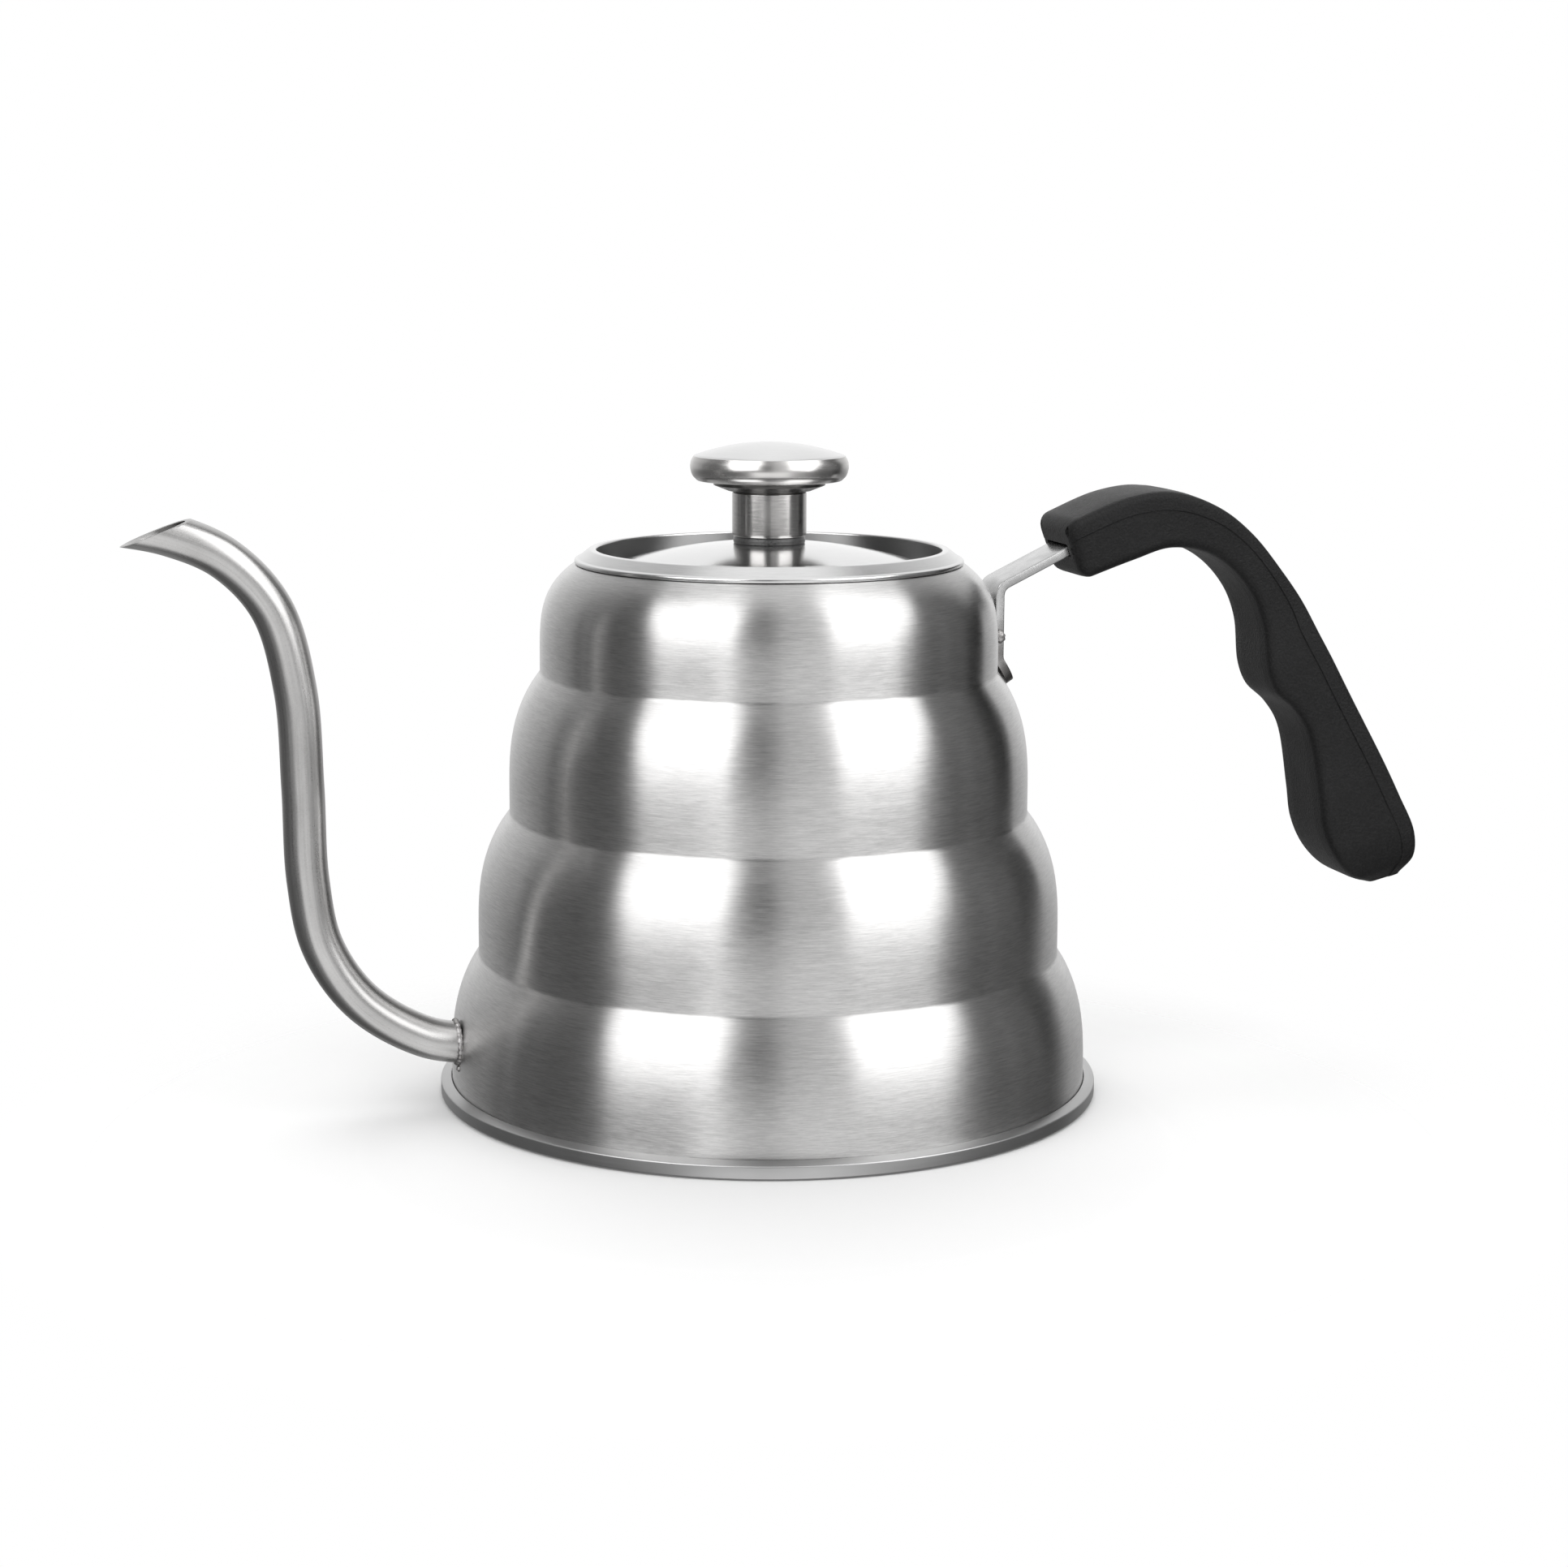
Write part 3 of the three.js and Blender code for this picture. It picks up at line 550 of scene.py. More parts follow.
def make_rim():
    """The collar: a bead on the seam, a slope up to the crest, and a bore and throat in darker steel that is
    painted shade.
    """
    edge = MOUTH_SEAM_RADIUS
    outline = rounded_path([
        (THROAT_RADIUS, THROAT_BOTTOM_Z, 0.3), (THROAT_RADIUS + SHEET, THROAT_BOTTOM_Z, 0.3),
        (THROAT_RADIUS + SHEET, LEDGE_Z - SHEET, 0.5), (RIM_BORE + SHEET, LEDGE_Z - SHEET, 0.5),
        (RIM_BORE + SHEET, MOUTH_SEAM_Z + 2.1, 0.5), (edge - 1.0, MOUTH_SEAM_Z + 0.16, 0.3),
        (edge - 0.1, MOUTH_SEAM_Z + 0.14, 0.35), (edge - 0.08, MOUTH_SEAM_Z + 1.0, 0.45),
        (edge - 0.9, MOUTH_SEAM_Z + 1.3, 0.25),
        (RIM_BORE + 1.6, RIM_CREST_Z - 0.12, 0.9), (RIM_BORE + 0.1, RIM_CREST_Z, 0.6),
        (RIM_BORE, LEDGE_Z, 0.4), (THROAT_RADIUS, LEDGE_Z, 0.5),
    ], steps=6)
    collar = piece("collar", *turned(outline), turned_satin, "kettle", "mouth_rim", "polished_steel")
    collar.data.materials.append(shaded_bore_steel)
    # The inner wall and the throat take the darker steel, as painted shade in the recess.
    for polygon in collar.data.polygons:
        middle = polygon.center / MM
        if middle.xy.length < RIM_BORE + 0.6 and middle.z < RIM_CREST_Z - 0.4:
            polygon.material_index = 1


# Base ------------------------

def make_base():
    """The kettle's floor, whose edge is hemmed over the body's flange as the ring round the foot."""
    floor_z, side = 3.7, 66.9
    top_z = highest("base_pan", Z)
    pan_top = floor_z + SHEET
    outline = rounded_path([
        (0, floor_z), (side - 1.7, floor_z, 1.2), (side, 0, 0.5), (RING_RADIUS - 0.35, 0, 0.35),
        (RING_RADIUS, 0.35, 0.3), (RING_RADIUS, 2.85, 0.35), (RING_RADIUS - 2.2, 3.62, 0.25),
        (LOBE_RADII[0] + 0.12, 3.4, 0.2), (LOBE_RADII[0] + 0.12, 2.75), (RING_RADIUS - 0.7, 2.7),
        (RING_RADIUS - 0.7, 1.3, 0.3), (side + SHEET, 1.3, 0.3), (side + SHEET, 2.9, 0.5),
        (side - 1.2, pan_top, 1.0), (0, min(pan_top, top_z)),
    ])
    piece("base_ring", *turned(outline), ring_steel, "kettle", "base_pan", "polished_steel")


def make_base_cap():
    """The disc that meets the hob, pressed with shallow rings."""
    plate, core, depth, rounding = 0.6, 61.3, 0.3, 0.3
    grooves = []
    for radius in (18, 32, 46):
        grooves += [(radius, 0.0, rounding), (radius + 0.5, depth, rounding),
                    (radius + 1.3, depth, rounding), (radius + 1.8, 0.0, rounding)]
    outline = rounded_path([
        (0, 0), *grooves, (core + 0.35, 0, 0.4), (core + 1.15, 0.7, 0.4), (core + 0.6, 3.4, 0.2),
        (core, 3.4), (core, plate, 0.4), (0, plate),
    ])
    piece("hob_disc", *turned(outline), satin, "kettle", "base_cap", "satin_steel")


def paint_core():
    """The aluminium core keeps its CAD solid."""
    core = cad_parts["base_core"].data
    core.materials.clear()
    core.materials.append(aluminium)


# Spout ------------------------

def spout_path():
    """The tube's middle line, from inside the body to past the lip."""
    root, direction = SPOUT_ROOT, SPOUT_HEADING.normalized()
    bends = [(-90.2, 24.4), (-98.3, 36.9), (-101.1, 51.5), (-101.7, 71.6), (-102.8, 92.5),
             (-107.3, 109.6), (-116.4, 120.0), (-127.6, 125.3), (-141, 128.2)]
    straight = [root - 5 * direction, root + 7 * direction]
    return curve_through([*straight, *[(x, 0, z) for x, z in bends]], 40)


SPOUT_PATH = spout_path()
ROOT_PART = 0.1


def tube_point(fraction, angle, radius):
    """A point on the tube: angle 0 is its upper or outer side, and 90 degrees is +Y."""
    at, near = along(SPOUT_PATH, fraction), 0.004
    heading = (along(SPOUT_PATH, fraction + near) - along(SPOUT_PATH, fraction - near)).normalized()
    up = ACROSS.cross(heading).normalized()
    return at + radius * (up * math.cos(angle) + ACROSS * math.sin(angle))


def past_tip(point):
    """Whether a point lies above the slanting cut of the lip."""
    return point.z - TIP[1] - math.tan(TIP_CUT) * (point.x - TIP[0]) > 0


def reaches_wall(point):
    return math.hypot(point.x, point.y) > LOBE_RADII[0] - 0.5


def outside_wall(point):
    return math.hypot(point.x, point.y) > LOBE_RADII[0] + 0.05


def first_fraction(angle, radius, test, low, high):
    """Where along the tube a line on it first passes a test, by halving."""
    halvings = 24
    for _ in range(halvings):
        middle = (low + high) / 2
        if test(tube_point(middle, angle, radius)):
            high = middle
        else:
            low = middle
    return high


def tube_line(angle, radius, rings):
    """One line of points along the tube, from the body's wall to the slanting lip."""
    start = first_fraction(angle, radius, reaches_wall, 0, ROOT_PART)
    end = first_fraction(angle, radius, past_tip, 0.5, 1)
    straight, slant = 0.04, 0.8
    points = []
    for k in range(rings):
        t = k / (rings - 1)
        fraction = t
        if t < straight:
            fraction = start + (straight - start) * t / straight
        if t > slant:
            fraction = slant + (end - slant) * (t - slant) / (1 - slant)
        points.append(tube_point(fraction, angle, radius))
    return points


def make_spout():
    """The tube, open from the body's inside to its slanting lip."""
    sides, rings, lip_rise = 64, 150, 0.12
    angles = [2 * math.pi * k / sides for k in range(sides)]
    outer = [tube_line(a, TUBE_RADIUS, rings) for a in angles]
    inner = [tube_line(a, TUBE_BORE, rings) for a in angles]
    cut_normal = Vector((-math.sin(TIP_CUT), 0, math.cos(TIP_CUT)))
    lip = [(o[-1] + i[-1]) / 2 + lip_rise * cut_normal for o, i in zip(outer, inner)]
    sections = [[line[k] for line in outer] for k in range(rings)]
    sections.append(lip)
    sections += [[line[k] for line in inner] for k in reversed(range(rings))]
    vertices, faces = loft(sections, closed=True)
    spout = piece("spout", vertices, faces, tube_steel, "kettle", "spout_tube", "spout_steel", sharp=50)
    map_tube(spout.data)


def map_tube(mesh):
    """A map in mm: U runs round the tube and V along it."""
    steps, length = 400, 190
    path = [along(SPOUT_PATH, k / steps) for k in range(steps + 1)]
    grain = mesh.uv_layers.new(name="grain")
    mapped = []
    for vertex in mesh.vertices:
        point = vertex.co / MM
        nearest = min(range(steps + 1), key=lambda k: (path[k] - point).length_squared)
        heading = (path[min(nearest + 1, steps)] - path[max(nearest - 1, 0)]).normalized()
        up = ACROSS.cross(heading)
        offset = point - path[nearest]
        angle = math.atan2(offset.y, offset.dot(up))
        mapped.append((angle, nearest / steps * length + offset.dot(heading)))
    for polygon in mesh.polygons:
        angles = [mapped[mesh.loops[i].vertex_index][0] for i in polygon.loop_indices]
        for i in polygon.loop_indices:
            angle, distance = mapped[mesh.loops[i].vertex_index]
            if max(angles) - min(angles) > math.pi and angle < 0:
                angle += 2 * math.pi
            grain.data[i].uv = (angle * TUBE_RADIUS, distance)


def make_spout_weld():
    """A rippled bead round the tube where it meets the wall, and one stray drop below it."""
    rings, sides, ripples, stretch = 160, 12, 24, 1.15
    thinnest, ripple_height, lump_height, stand_off = 0.4, 0.14, 0.1, 0.12
    forward = SPOUT_HEADING.normalized()
    bead = []
    for k in range(rings):
        angle = 2 * math.pi * k / rings
        seat = first_fraction(angle, TUBE_RADIUS, outside_wall, 0, ROOT_PART)
        centre = tube_point(seat, angle, TUBE_RADIUS + stand_off)
        outward = (tube_point(seat, angle, TUBE_RADIUS + 1) - centre).normalized()
        wave = 0.5 + 0.5 * math.cos(ripples * angle + 1.3 * math.sin(3 * angle))
        lump = noise.noise(Vector((math.cos(angle), math.sin(angle), 0)) * 3)
        size = thinnest + ripple_height * wave + lump_height * lump
        turns = [2 * math.pi * j / sides for j in range(sides)]
        bead.append([centre + size * (outward * math.cos(t) + stretch * forward * math.sin(t))
                     for t in turns])
    vertices, faces = loft(bead, closed=True)
    stray, stray_faces = drop((-69.6, -1.9, 8.6), (0.9, 0.85, 0.7), seed=3)
    faces += [[index + len(vertices) for index in face] for face in stray_faces]
    piece("spout_bead", vertices + stray, faces, weld_steel, "kettle", "spout_weld", "weld_steel",
          sharp=60)


def drop(centre, size, seed, sides=28, rings=16, lumps=0.16):
    """Vertices and faces of a lumpy bead of weld metal."""
    turns = [math.pi * k / rings for k in range(1, rings)]
    profile = [(0, -1), *[(math.sin(t), -math.cos(t)) for t in turns], (0, 1)]
    vertices, faces = turned(profile, sides)
    shaped = []
    for vertex in vertices:
        way = Vector(vertex)
        lump = lumps * noise.noise(way * 2.2 + Vector((seed, 0, 0)))
        swell = 1 + lump + 0.05 * math.sin(9 * way.z + seed)
        shaped.append(Vector(centre) + Vector([w * s * swell for w, s in zip(way, size)]))
    return shaped, faces


# Handle bracket ------------------------

ARM = Vector((math.cos(ARM_SLOPE), 0, math.sin(ARM_SLOPE)))
SCREW_UP = Vector((-math.sin(ARM_SLOPE), 0, math.cos(ARM_SLOPE)))


def arm_point(distance, up=0.0):
    """A point on the strap's arm, at a distance from its corner and some way above its middle."""
    return Vector((LEG_X, 0, ARM_CORNER_Z)) + distance * ARM + up * SCREW_UP


def strip_section(at, across, width, thickness, bevel):
    """A flat section with broken edges, standing across a strip at a point."""
    signs = ((-1, -1), (1, -1), (1, 1), (-1, 1))
    corners = [(s * width / 2, t * thickness / 2, bevel) for s, t in signs]
    return [at + ACROSS * p.x + across * p.y for p in rounded_path(corners, steps=3)]


def make_strap():
    """One strip from its tongue-shaped foot, up the body and out into the grip."""
    steps, bend_radius, foot_length, tip_share = 14, 3.2, 5.2, 0.45
    end = arm_point(ARM_LENGTH - 0.2)
    corners = [FOOT_END, (LEG_X, FOOT_BEND_Z, bend_radius), (LEG_X, ARM_CORNER_Z, bend_radius),
               (end.x, end.z)]
    path = rounded_path(corners, closed=False, steps=steps)
    foot, low_bend = path[0], path[1:steps + 2]
    high_bend, arm_start, arm_end = path[steps + 2:-2], path[-2], path[-1]
    foot_stations = (0.0, 0.02, 0.06, 0.12, 0.2, 0.3, 0.42, 0.56, 0.7, 0.85)
    stations = [foot.lerp(low_bend[0], t) for t in foot_stations] + low_bend
    stations += [low_bend[-1].lerp(high_bend[0], t) for t in (0.25, 0.5, 0.75)] + high_bend
    stations += [arm_start.lerp(arm_end, k / 12) for k in range(13)]
    sections = []
    for i, point in enumerate(stations):
        following = stations[min(i + 1, len(stations) - 1)]
        heading = (following - stations[max(i - 1, 0)]).normalized()
        across = Vector((-heading.y, 0, heading.x))
        reach = min((point - foot).length, foot_length) / foot_length
        roundness = math.sqrt(max(0, 1 - (1 - reach) ** 2))
        width = STRAP_WIDTH * (tip_share + (1 - tip_share) * roundness)
        at = Vector((point.x, 0, point.y))
        sections.append(strip_section(at, across, width - 0.02, STRAP_THICKNESS, 0.28))
    piece("strap", *loft(sections), strap_steel, "kettle", "handle_bracket", "polished_steel", sharp=50)


def make_strap_welds():
    for side, node in ((-1, "bracket_weld_left"), (1, "bracket_weld_right")):
        low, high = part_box(node)
        centre = (low + high) / 2 / MM
        size = (high - low) / 2 / MM
        vertices, faces = drop((centre.x - 0.1, centre.y - side * 0.35, centre.z),
                               (size.x * 0.95, size.y * 0.9, size.z * 0.95), seed=7 * side)
        piece(node + "_bead", vertices, faces, weld_steel, "kettle", node, "weld_steel", sharp=60)


# Grip ------------------------

# Each station gives a point on the back, the point opposite it on the finger side, as x and z,
# and the width there.
GRIP_STATIONS = [
    ((64.7, 124.3), (69.3, 111.3), 21), ((79.5, 130.0), (81.5, 115.6), 22),
    ((90.0, 131.0), (89.8, 118.0), 22), ((101.5, 127.2), (98.3, 116.9), 21),
    ((110.0, 121.0), (104.8, 113.3), 20), ((117.5, 112.4), (110.4, 107.0), 20),
    ((122.8, 105.4), (113.3, 100.0), 20), ((127.7, 97.0), (114.8, 89.4), 21),
    ((130.4, 92.5), (116.9, 84.5), 21), ((133.5, 87.0), (121.6, 80.2), 21),
    ((136.8, 81.2), (125.2, 74.6), 21), ((143.9, 68.5), (128.3, 60.0), 22),
    ((148.3, 60.2), (129.6, 52.2), 22), ((152.5, 51.5), (132.9, 45.5), 22),
    ((153.3, 45.2), (137.6, 40.7), 19), ((151.1, 40.9), (142.7, 38.9), 13),
]
GRIP_SPAN_STEPS = 9


def grip_section(width, depth):
    """Points round the section, from the middle of the back, with a step on each side."""
    back_round, finger_round = min(4.2, 0.31 * depth), min(6.2, 0.42 * depth)
    step_at, step_in, half = 0.33 * min(depth, 13), 0.28, width / 2
    side = rounded_path([
        (0, 0), (half * 0.55, 0.05), (half, 0.35, back_round), (half, step_at, 0.12),
        (half - step_in, step_at + 0.12, 0.12), (half - step_in, depth - 0.25, finger_round),
        (half * 0.5, depth, 2.0), (0, depth),
    ], closed=False, steps=7)
    return side + [Vector((-p.x, p.y)) for p in reversed(side[1:-1])]


def grip_ring(back, fingers, width, inset=0.0):
    """The section between a back and a finger point, drawn in all round by an inset."""
    depth = (fingers - back).length
    way = (fingers - back) / depth
    shrink_u, shrink_v = 1 - 2 * inset / width, 1 - 2 * inset / depth
    ring = []
    for point in grip_section(width, depth):
        v = depth / 2 + (point.y - depth / 2) * shrink_v
        at = back + way * v
        ring.append(Vector((at.x, point.x * shrink_u, at.y)))
    return ring


def inside_cad(points, node):
    """Holds points within a CAD node's box."""
    low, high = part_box(node)
    held = []
    for point in points:
        held.append(Vector([min(max(c, a / MM), b / MM) for c, a, b in zip(point, low, high)]))
    return held


def station_curve(values):
    return curve_through([Vector((*value, 0)) for value in values], GRIP_SPAN_STEPS)


def grip_rings():
    """Sections from the rounded front end, along the grip, to the heel."""
    rounding, corner_steps, clear = 3.0, 8, 0.4
    backs = station_curve([back for back, fingers, width in GRIP_STATIONS])
    fingers = station_curve([fingers for back, fingers, width in GRIP_STATIONS])
    widths = station_curve([(station[2], i * 10) for i, station in enumerate(GRIP_STATIONS)])
    first_span = (backs[GRIP_SPAN_STEPS] - backs[0]).length
    made = []
    for k in range(corner_steps + 1):
        angle = math.pi / 2 * k / corner_steps
        distance, inset = rounding * (1 - math.cos(angle)), rounding * (1 - math.sin(angle))
        t = distance / first_span * GRIP_SPAN_STEPS / (len(backs) - 1)
        made.append(grip_ring(along(backs, t).xy, along(fingers, t).xy, along(widths, t).x, inset))
    for back, finger, width in zip(backs, fingers, widths):
        if (back - backs[0]).length > rounding + clear:
            made.append(grip_ring(back.xy, finger.xy, width.x))
    return close_heel(made)


def close_heel(rings):
    """Draws the last ring in over a low dome."""
    last, steps, dome = rings[-1], 7, 0.9
    centre = sum(last, Vector()) / len(last)
    outward = (centre - sum(rings[-3], Vector()) / len(last)).normalized()
    for k in range(1, steps):
        angle = math.pi / 2 * k / steps
        rise = outward * dome * math.sin(angle)
        rings.append([centre + (p - centre) * math.cos(angle) + rise for p in last])
    return rings


def screw_hole(radius, bottom, top):
    vertices, faces = turned([(0, bottom), (radius, bottom), (radius, top), (0, top)], HOLE_SIDES)
    return placed(vertices, arm_point(GRIP_SCREW_ALONG), SCREW_UP), faces


def side_notches():
    """Two moulded dents on each side, by the strap's way in."""
    notches = []
    for side in (-1, 1):
        for up, depth in ((4.7, 1.2), (0.2, 1.0)):
            at = arm_point(16.9 + 0.25 * up, up) + side * 8.0 * ACROSS
            vertices, faces = drop((0, 0, 0), (1.3, 0.75, depth), seed=0, lumps=0)
            notches.append((placed(vertices, at, SCREW_UP), faces))
    return notches


def make_grip():
    grip = blank("grip", *loft([inside_cad(ring, "handle_grip") for ring in grip_rings()]))
    slot = loft([strip_section(arm_point(d, 0.18), SCREW_UP, STRAP_WIDTH + 0.7, STRAP_THICKNESS + 0.9, 0.4)
                 for d in (6, ARM_LENGTH)])
    head_recess = screw_hole(3.5, -14, -4.0)
    shank_hole = screw_hole(SCREW_RADIUS + 0.2, -6, 3.7)
    cut_away(grip, [slot, head_recess, shank_hole, *side_notches()])
    dress(grip, resin, "kettle", "handle_grip", sharp=32)


def pan_head(radius, height, shank_top):
    """A screw with its head below z = 0 and its shank above."""
    shank, chamfer = SCREW_RADIUS, 0.4
    return turned(rounded_path([
        (0, -height), (radius * 0.72, -height, 0.6), (radius, -height * 0.45, 0.5), (radius, 0, 0.1),
        (shank, 0), (shank, shank_top - chamfer), (shank - chamfer, shank_top), (0, shank_top),
    ]), SMALL_SIDES)


def make_screw(name, node, body, origin, up, radius, height, shank_top):
    """A pan head screw with a cross recess in its head."""
    vertices, faces = pan_head(radius, height, shank_top)
    screw = blank(name, placed(vertices, origin, up), faces)
    bottom, top = -height - 1, -height * 0.45
    cross = []
    for half_x, half_y in ((1.7, 0.4), (0.4, 1.7)):
        vertices, faces = block((-half_x, -half_y, bottom), (half_x, half_y, top))
        cross.append((placed(vertices, origin, up), faces))
    cut_away(screw, cross)
    dress(screw, bright, body, node, sharp=32)


# Lid ------------------------

def dome_z(radius):
    return LID_APEX_Z - LID_FALL * radius ** 2


def make_lid():
    """A domed plate that rests on the rim's ledge, with a flat pad under the knob."""
    hole, edge = SCREW_RADIUS + 0.2, LID_RADIUS - 2.3
    radii = [10.5 + 1.5 * k for k in range(17)]
    top = [(r, dome_z(r)) for r in radii]
    under = [(r, dome_z(r) - SHEET) for r in radii if r < edge - 1]
    outline = rounded_path([
        (hole, SEAT_Z - SHEET), (LID_PAD_RADIUS, SEAT_Z - SHEET), *under,
        (edge, dome_z(edge) - SHEET, 0.4), (edge + 0.5, LEDGE_Z + 0.1, 0.2),
        (LID_RADIUS, LEDGE_Z + 0.1, 0.3), (LID_RADIUS, LEDGE_Z + 0.95, 0.4),
        *reversed(top), (LID_PAD_RADIUS, SEAT_Z, 0.6), (hole, SEAT_Z),
    ])
    piece("lid_dome", *turned(outline), dome_steel, "lid", "lid_plate", "polished_steel")


def make_skirt():
    """The ring under the plate that keeps the lid centred in the mouth."""
    top = highest("lid_skirt", Z)
    bottom = lowest("lid_skirt", Z)
    radius = SKIRT_RADIUS
    outline = rounded_path([
        (radius - 0.8, bottom + 0.2, 0.3), (radius - 0.1, bottom, 0.35), (radius, bottom + 0.8, 0.3),
        (radius, LEDGE_Z - 0.4, 0.5), (radius - 0.5, top - 0.3, 0.4), (radius - 3.5, top, 0.1),
        (radius - 3.5, top - 0.6, 0.1), (radius - 0.9, top - 0.9, 0.4),
    ])
    piece("lid_collar", *turned(outline), satin, "lid", "lid_skirt", "satin_steel")


# Knob ------------------------

def small_turned(name, node, corners, material, slot):
    return piece(name, *turned(rounded_path(corners), SMALL_SIDES), material, "lid", node, slot)


def make_knob():
    """Seal, stem, boss, cap and washer, one on another, and the screw that holds them."""
    hole = SCREW_RADIUS + 0.15
    gasket, stem_radius = highest("knob_gasket", Y), highest("knob_stem", Y)
    stem_low, stem_high = lowest("knob_stem", Z), highest("knob_stem", Z)
    small_turned("stem_seal", "knob_gasket", [
        (hole, SEAT_Z), (gasket - 0.1, SEAT_Z, 0.3), (gasket + 0.05, SEAT_Z + 0.8, 0.5),
        (gasket - 0.25, stem_low, 0.3), (hole, stem_low)], rubber, "gasket_rubber")
    small_turned("stem", "knob_stem", [
        (hole, stem_low), (stem_radius - 0.1, stem_low, 0.3), (stem_radius, stem_low + 0.7, 0.3),
        (stem_radius, stem_high - 0.4, 0.3), (stem_radius - 0.3, stem_high), (hole, stem_high)],
        stem_steel, "satin_steel")
    boss_low, boss_high = lowest("knob_boss", Z), highest("knob_boss", Z)
    # The boss's near-black steel is painted shade.
    small_turned("boss", "knob_boss", [
        (hole, boss_low), (stem_radius + 1.0, boss_low, 0.2), (BOSS_RADIUS - 0.9, boss_high - 1.15, 0.5),
        (BOSS_RADIUS - 0.5, boss_high - 1.0, 0.1), (BOSS_RADIUS, boss_high - 0.8, 0.2),
        (BOSS_RADIUS, boss_high, 0.15), (hole, boss_high)], shaded_boss_steel, "polished_steel")
    make_cap(hole)
    washer_low, washer_high = lowest("knob_washer", Z), highest("knob_washer", Z)
    washer = highest("knob_washer", Y)
    small_turned("washer", "knob_washer", [
        (hole, washer_low), (washer, washer_low, 0.25), (washer, washer_high, 0.25), (hole, washer_high)],
        bright, "polished_steel")
    screw_top = highest("knob_screw", Z)
    make_screw("knob_fixing", "knob_screw", "lid", Vector((0, 0, washer_low - 0.05)), (0, 0, 1),
               radius=3.6, height=2.3, shank_top=screw_top - washer_low)


def make_cap(hole):
    """A low dome that ends in a crisp line over a bulging polished edge."""
    shoulder_radius, shoulder_z = CAP_RADIUS - 0.85, CAP_TOP_Z - 3.0
    hole_top, dome_rise = 138.3, CAP_TOP_Z - shoulder_z - 0.12
    fractions = (0.99, 0.95, 0.88, 0.8, 0.7, 0.6, 0.5, 0.4, 0.3, 0.2, 0.1)
    dome = [(shoulder_radius * t, CAP_TOP_Z - dome_rise * t ** 2) for t in fractions]
    bulge = [(CAP_RADIUS - 1.25, CAP_BOTTOM_Z + 0.2), (CAP_RADIUS - 0.45, CAP_BOTTOM_Z + 1.1),
             (CAP_RADIUS, CAP_BOTTOM_Z + 2.7), (CAP_RADIUS - 0.15, CAP_BOTTOM_Z + 4.1),
             (shoulder_radius + 0.12, shoulder_z)]
    edge = curve_through([(x, z, 0) for x, z in bulge], 5)
    corners = [(0, hole_top), (hole, hole_top), (hole, CAP_BOTTOM_Z), (CAP_RADIUS - 2.0, CAP_BOTTOM_Z, 0.2),
               (CAP_RADIUS - 1.5, CAP_BOTTOM_Z + 0.02, 0.1), *[(p.x, p.y) for p in edge],
               (shoulder_radius, shoulder_z + 0.02), *dome, (0, CAP_TOP_Z)]
    cap = small_turned("cap", "knob_cap", corners, cap_side, "polished_steel")
    cap.data.materials.append(turned_satin)
    for polygon in cap.data.polygons:
        if polygon.center.z > (shoulder_z + 0.05) * MM:
            polygon.material_index = 1


# Studio ------------------------

AIM = Vector((0, 0, 0.07))


def studio_point(azimuth, elevation, distance):
    """A place round the kettle. Azimuth 0 is the side of the camera, and positive is to its right."""
    a, e = math.radians(VIEW_AZIMUTH + azimuth), math.radians(elevation)
    return AIM + distance * Vector((math.sin(a) * math.cos(e), -math.cos(a) * math.cos(e), math.sin(e)))


def softbox(name, azimuth, elevation, lean, size, power, distance=1.0, reflected=True):
    """A soft light turned to the kettle, and leaned sideways by some degrees."""
    light = bpy.data.lights.new(name, "AREA")
    light.shape = "RECTANGLE"
    light.size, light.size_y = size
    light.energy = power
    lamp = bpy.data.objects.new(name, light)
    lamp.location = studio_point(azimuth, elevation, distance)
    facing = (AIM - lamp.location).to_track_quat("-Z", "Y").to_matrix().to_4x4()
    leaning = Matrix.Rotation(math.radians(lean), 4, "Z")
    lamp.matrix_world = Matrix.Translation(lamp.location) @ facing @ leaning
    lamp.visible_camera = False
    lamp.visible_glossy = reflected
    bpy.context.scene.collection.objects.link(lamp)


def make_room():
    """Plain white to the camera; dim at the sides and lighter behind in what the steel reflects."""
    world = bpy.data.worlds.new("studio")
    bpy.context.scene.world = world
    world.use_nodes = True
    world.node_tree.nodes.clear()
    room = Nodes(world.node_tree)
    way = room.node("ShaderNodeTexCoord").outputs["Generated"]
    turn = room.node("ShaderNodeVectorRotate", {"Vector": way, "Angle": math.radians(-VIEW_AZIMUTH)},
                     rotation_type="Z_AXIS")
    parts = room.node("ShaderNodeSeparateXYZ", {0: turn.outputs[0]}).outputs
    azimuth = room.sum("ARCTAN2", parts["X"], room.sum("MULTIPLY", parts["Y"], -1))
    spread = room.ranged(azimuth, -math.pi, math.pi, 0, 1)
    walls = ramp(room, spread, ROOM_WALLS)
    below = ramp(room, spread, ROOM_BELOW)
    over_floor = room.ranged(parts["Z"], -0.25, 0.0, 0, 1, interpolation_type="SMOOTHSTEP")
    sides = room.mixed(over_floor, below, walls)
    overhead = room.ranged(parts["Z"], 0.86, 0.97, 0, 1, interpolation_type="SMOOTHSTEP")
    around = room.mixed(overhead, sides, grey(CEILING))
    reflected = room.node("ShaderNodeBackground", {"Color": around}).outputs[0]
    plain = room.node("ShaderNodeBackground", {"Color": (1, 1, 1, 1)}).outputs[0]
    seen = room.node("ShaderNodeLightPath").outputs["Is Camera Ray"]
    chosen = room.node("ShaderNodeMixShader", {0: seen, 1: reflected, 2: plain}).outputs[0]
    room.node("ShaderNodeOutputWorld", {"Surface": chosen})


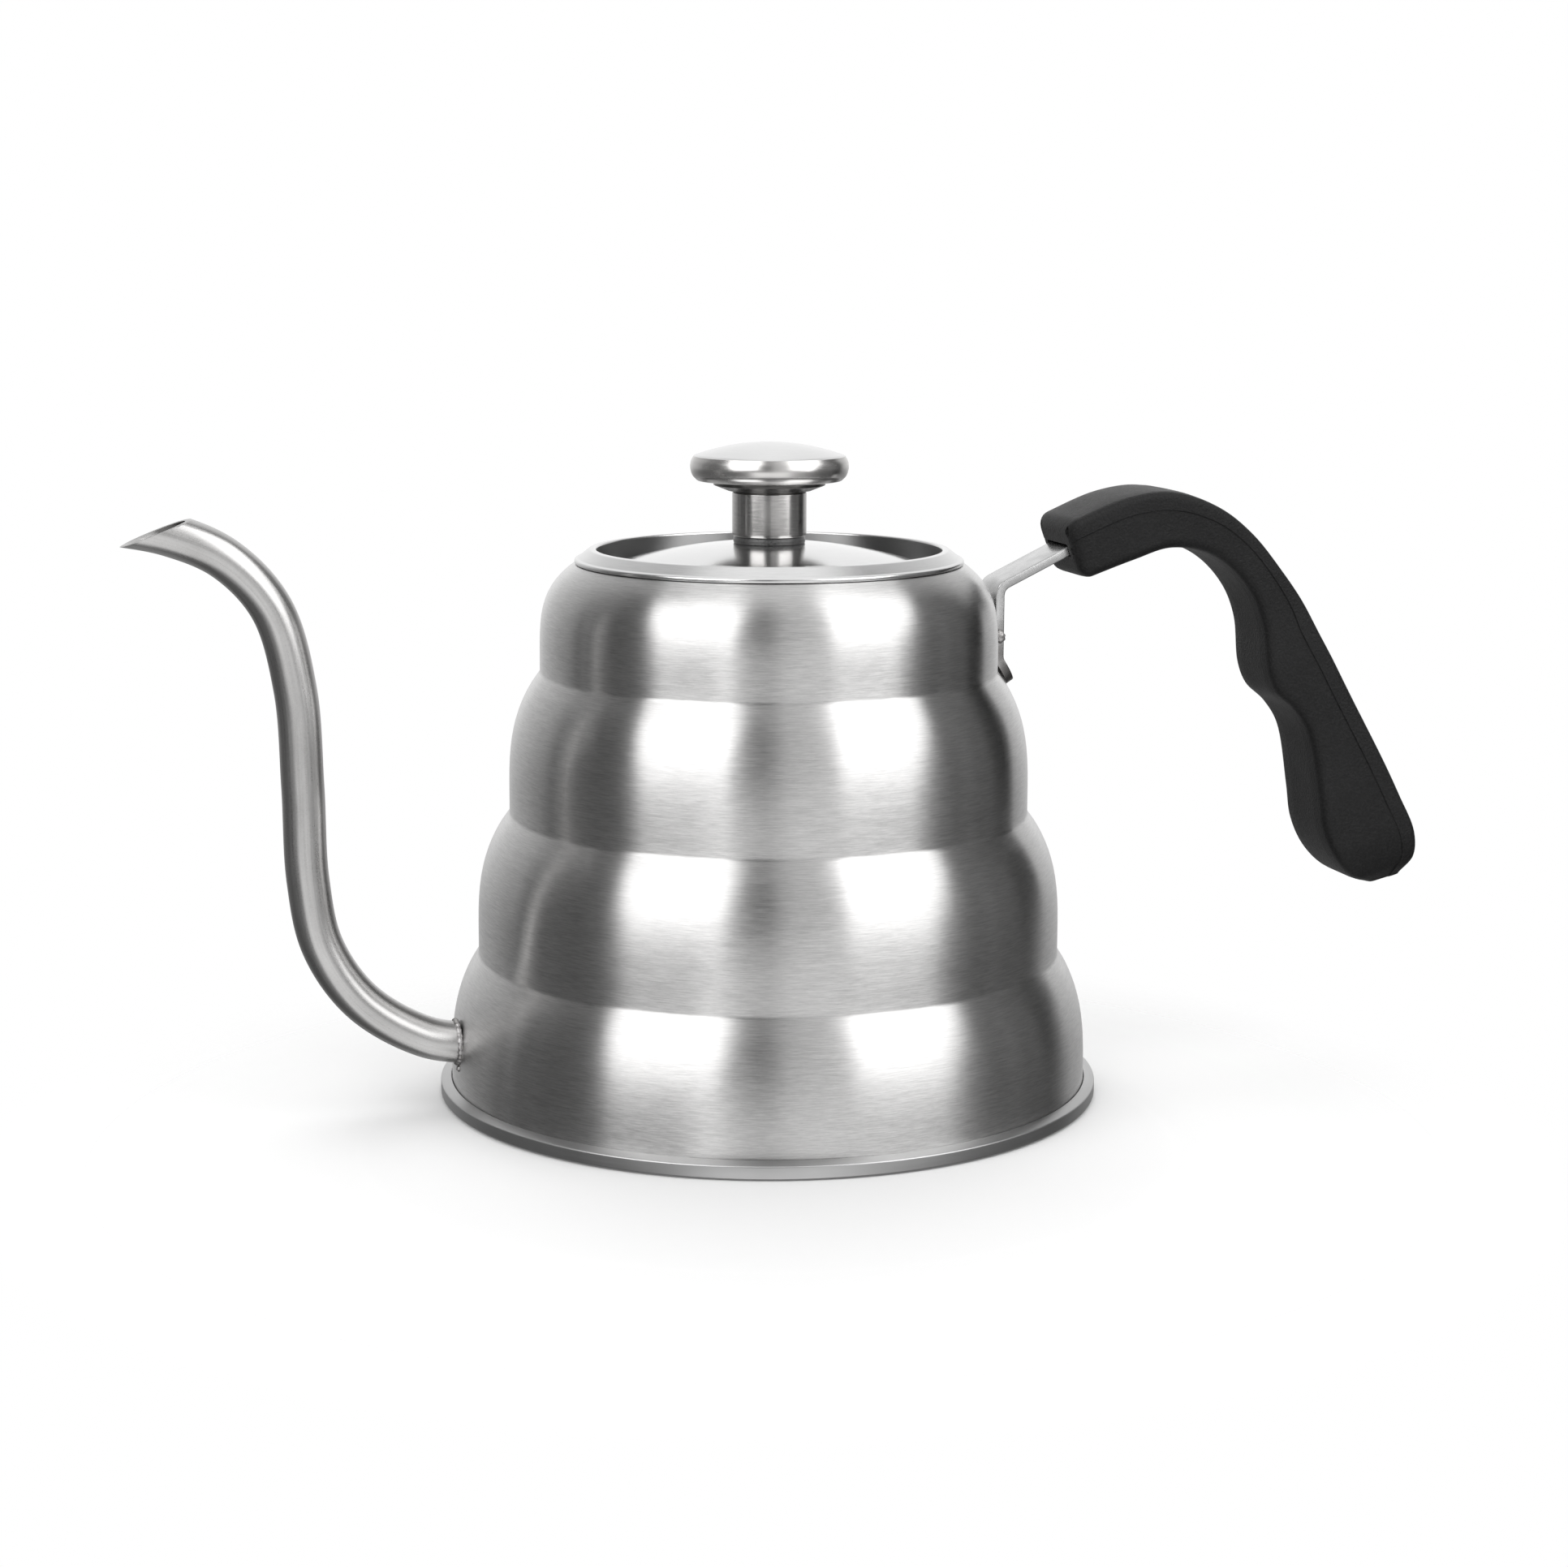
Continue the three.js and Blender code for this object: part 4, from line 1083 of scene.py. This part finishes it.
def ramp(nodes, value, stops):
    """Greys along a value from 0 to 1. Stops are (azimuth in degrees, brightness) pairs."""
    made = nodes.node("ShaderNodeValToRGB", {0: value})
    elements = made.color_ramp.elements
    while len(elements) > 1:
        elements.remove(elements[-1])
    for i, (azimuth, brightness) in enumerate(stops):
        position = (azimuth + 180) / 360
        element = elements.new(position) if i else elements[0]
        element.position = position
        element.color = (*grey(brightness), 1)
    return made.outputs[0]


# How bright the room is all round, at the height of the kettle and below it.
ROOM_WALLS = [(-180, 1.1), (-160, 0.95), (-148, 0.74), (-138, 0.66), (-116, 0.4), (-108, 0.07), (-104, 0.42),
              (-99, 0.08), (-91, 0.17), (-84, 0.1), (-62, 0.13), (-14, 0.34), (-6, 0.11), (1, 0.11), (8, 0.6),
              (30, 0.72), (70, 0.14), (82, 0.2), (90, 0.14), (98, 0.24), (106, 0.14), (112, 0.2), (119, 0.04),
              (127, 0.08), (136, 0.66), (148, 0.74), (160, 0.95), (180, 1.1)]
ROOM_BELOW = [(-180, 0.45), (-142, 0.3), (-122, 0.14), (-103, 0.12), (-72, 0.12), (-50, 0.15), (-32, 0.32),
              (-20, 1.3), (0, 1.1), (26, 1.2), (36, 0.6), (60, 0.32), (78, 0.12), (124, 0.09), (138, 0.28),
              (180, 0.45)]
CEILING = 1.05


def make_floor():
    margin = 0.02
    mesh = bpy.data.meshes.new("floor")
    work = bmesh.new()
    bmesh.ops.create_circle(work, cap_ends=True, segments=96, radius=FLOOR_FADE[1] + margin)
    work.to_mesh(mesh)
    work.free()
    floor = bpy.data.objects.new("floor", mesh)
    floor.location = FLOOR_CENTRE
    mesh.materials.append(pale_floor())
    bpy.context.scene.collection.objects.link(floor)
    floor.visible_glossy = False


def make_camera():
    data = bpy.data.cameras.new("camera")
    data.lens = VIEW_LENS
    data.sensor_width = 36
    camera = bpy.data.objects.new("camera", data)
    camera.matrix_world = (Matrix.Translation(Vector(VIEW_POINT) * MM)
                           @ Matrix.Rotation(math.radians(VIEW_AZIMUTH), 4, "Z")
                           @ Matrix.Rotation(math.radians(90 + VIEW_PITCH), 4, "X")
                           @ Matrix.Rotation(math.radians(VIEW_ROLL), 4, "Z"))
    bpy.context.scene.collection.objects.link(camera)
    bpy.context.scene.camera = camera


make_camera()
make_body()
make_rim()
make_base()
make_base_cap()
paint_core()
make_spout()
make_spout_weld()
make_strap()
make_strap_welds()
make_grip()
make_screw("grip_fixing", "handle_screw", "kettle", arm_point(GRIP_SCREW_ALONG, -4.2), SCREW_UP,
           radius=3.15, height=2.0, shank_top=7.5)
make_lid()
make_skirt()
make_knob()
make_room()
make_floor()
softbox("left_softbox", -41, 33, 12.4, (0.76, 1.05), 6.6)
softbox("right_softbox", 60, 36, -24, (0.73, 1.35), 7.4)
softbox("back_light", 180, 55, 0, (1.0, 1.0), 6.6, reflected=False)
bpy.context.scene.view_settings.view_transform = "Standard"
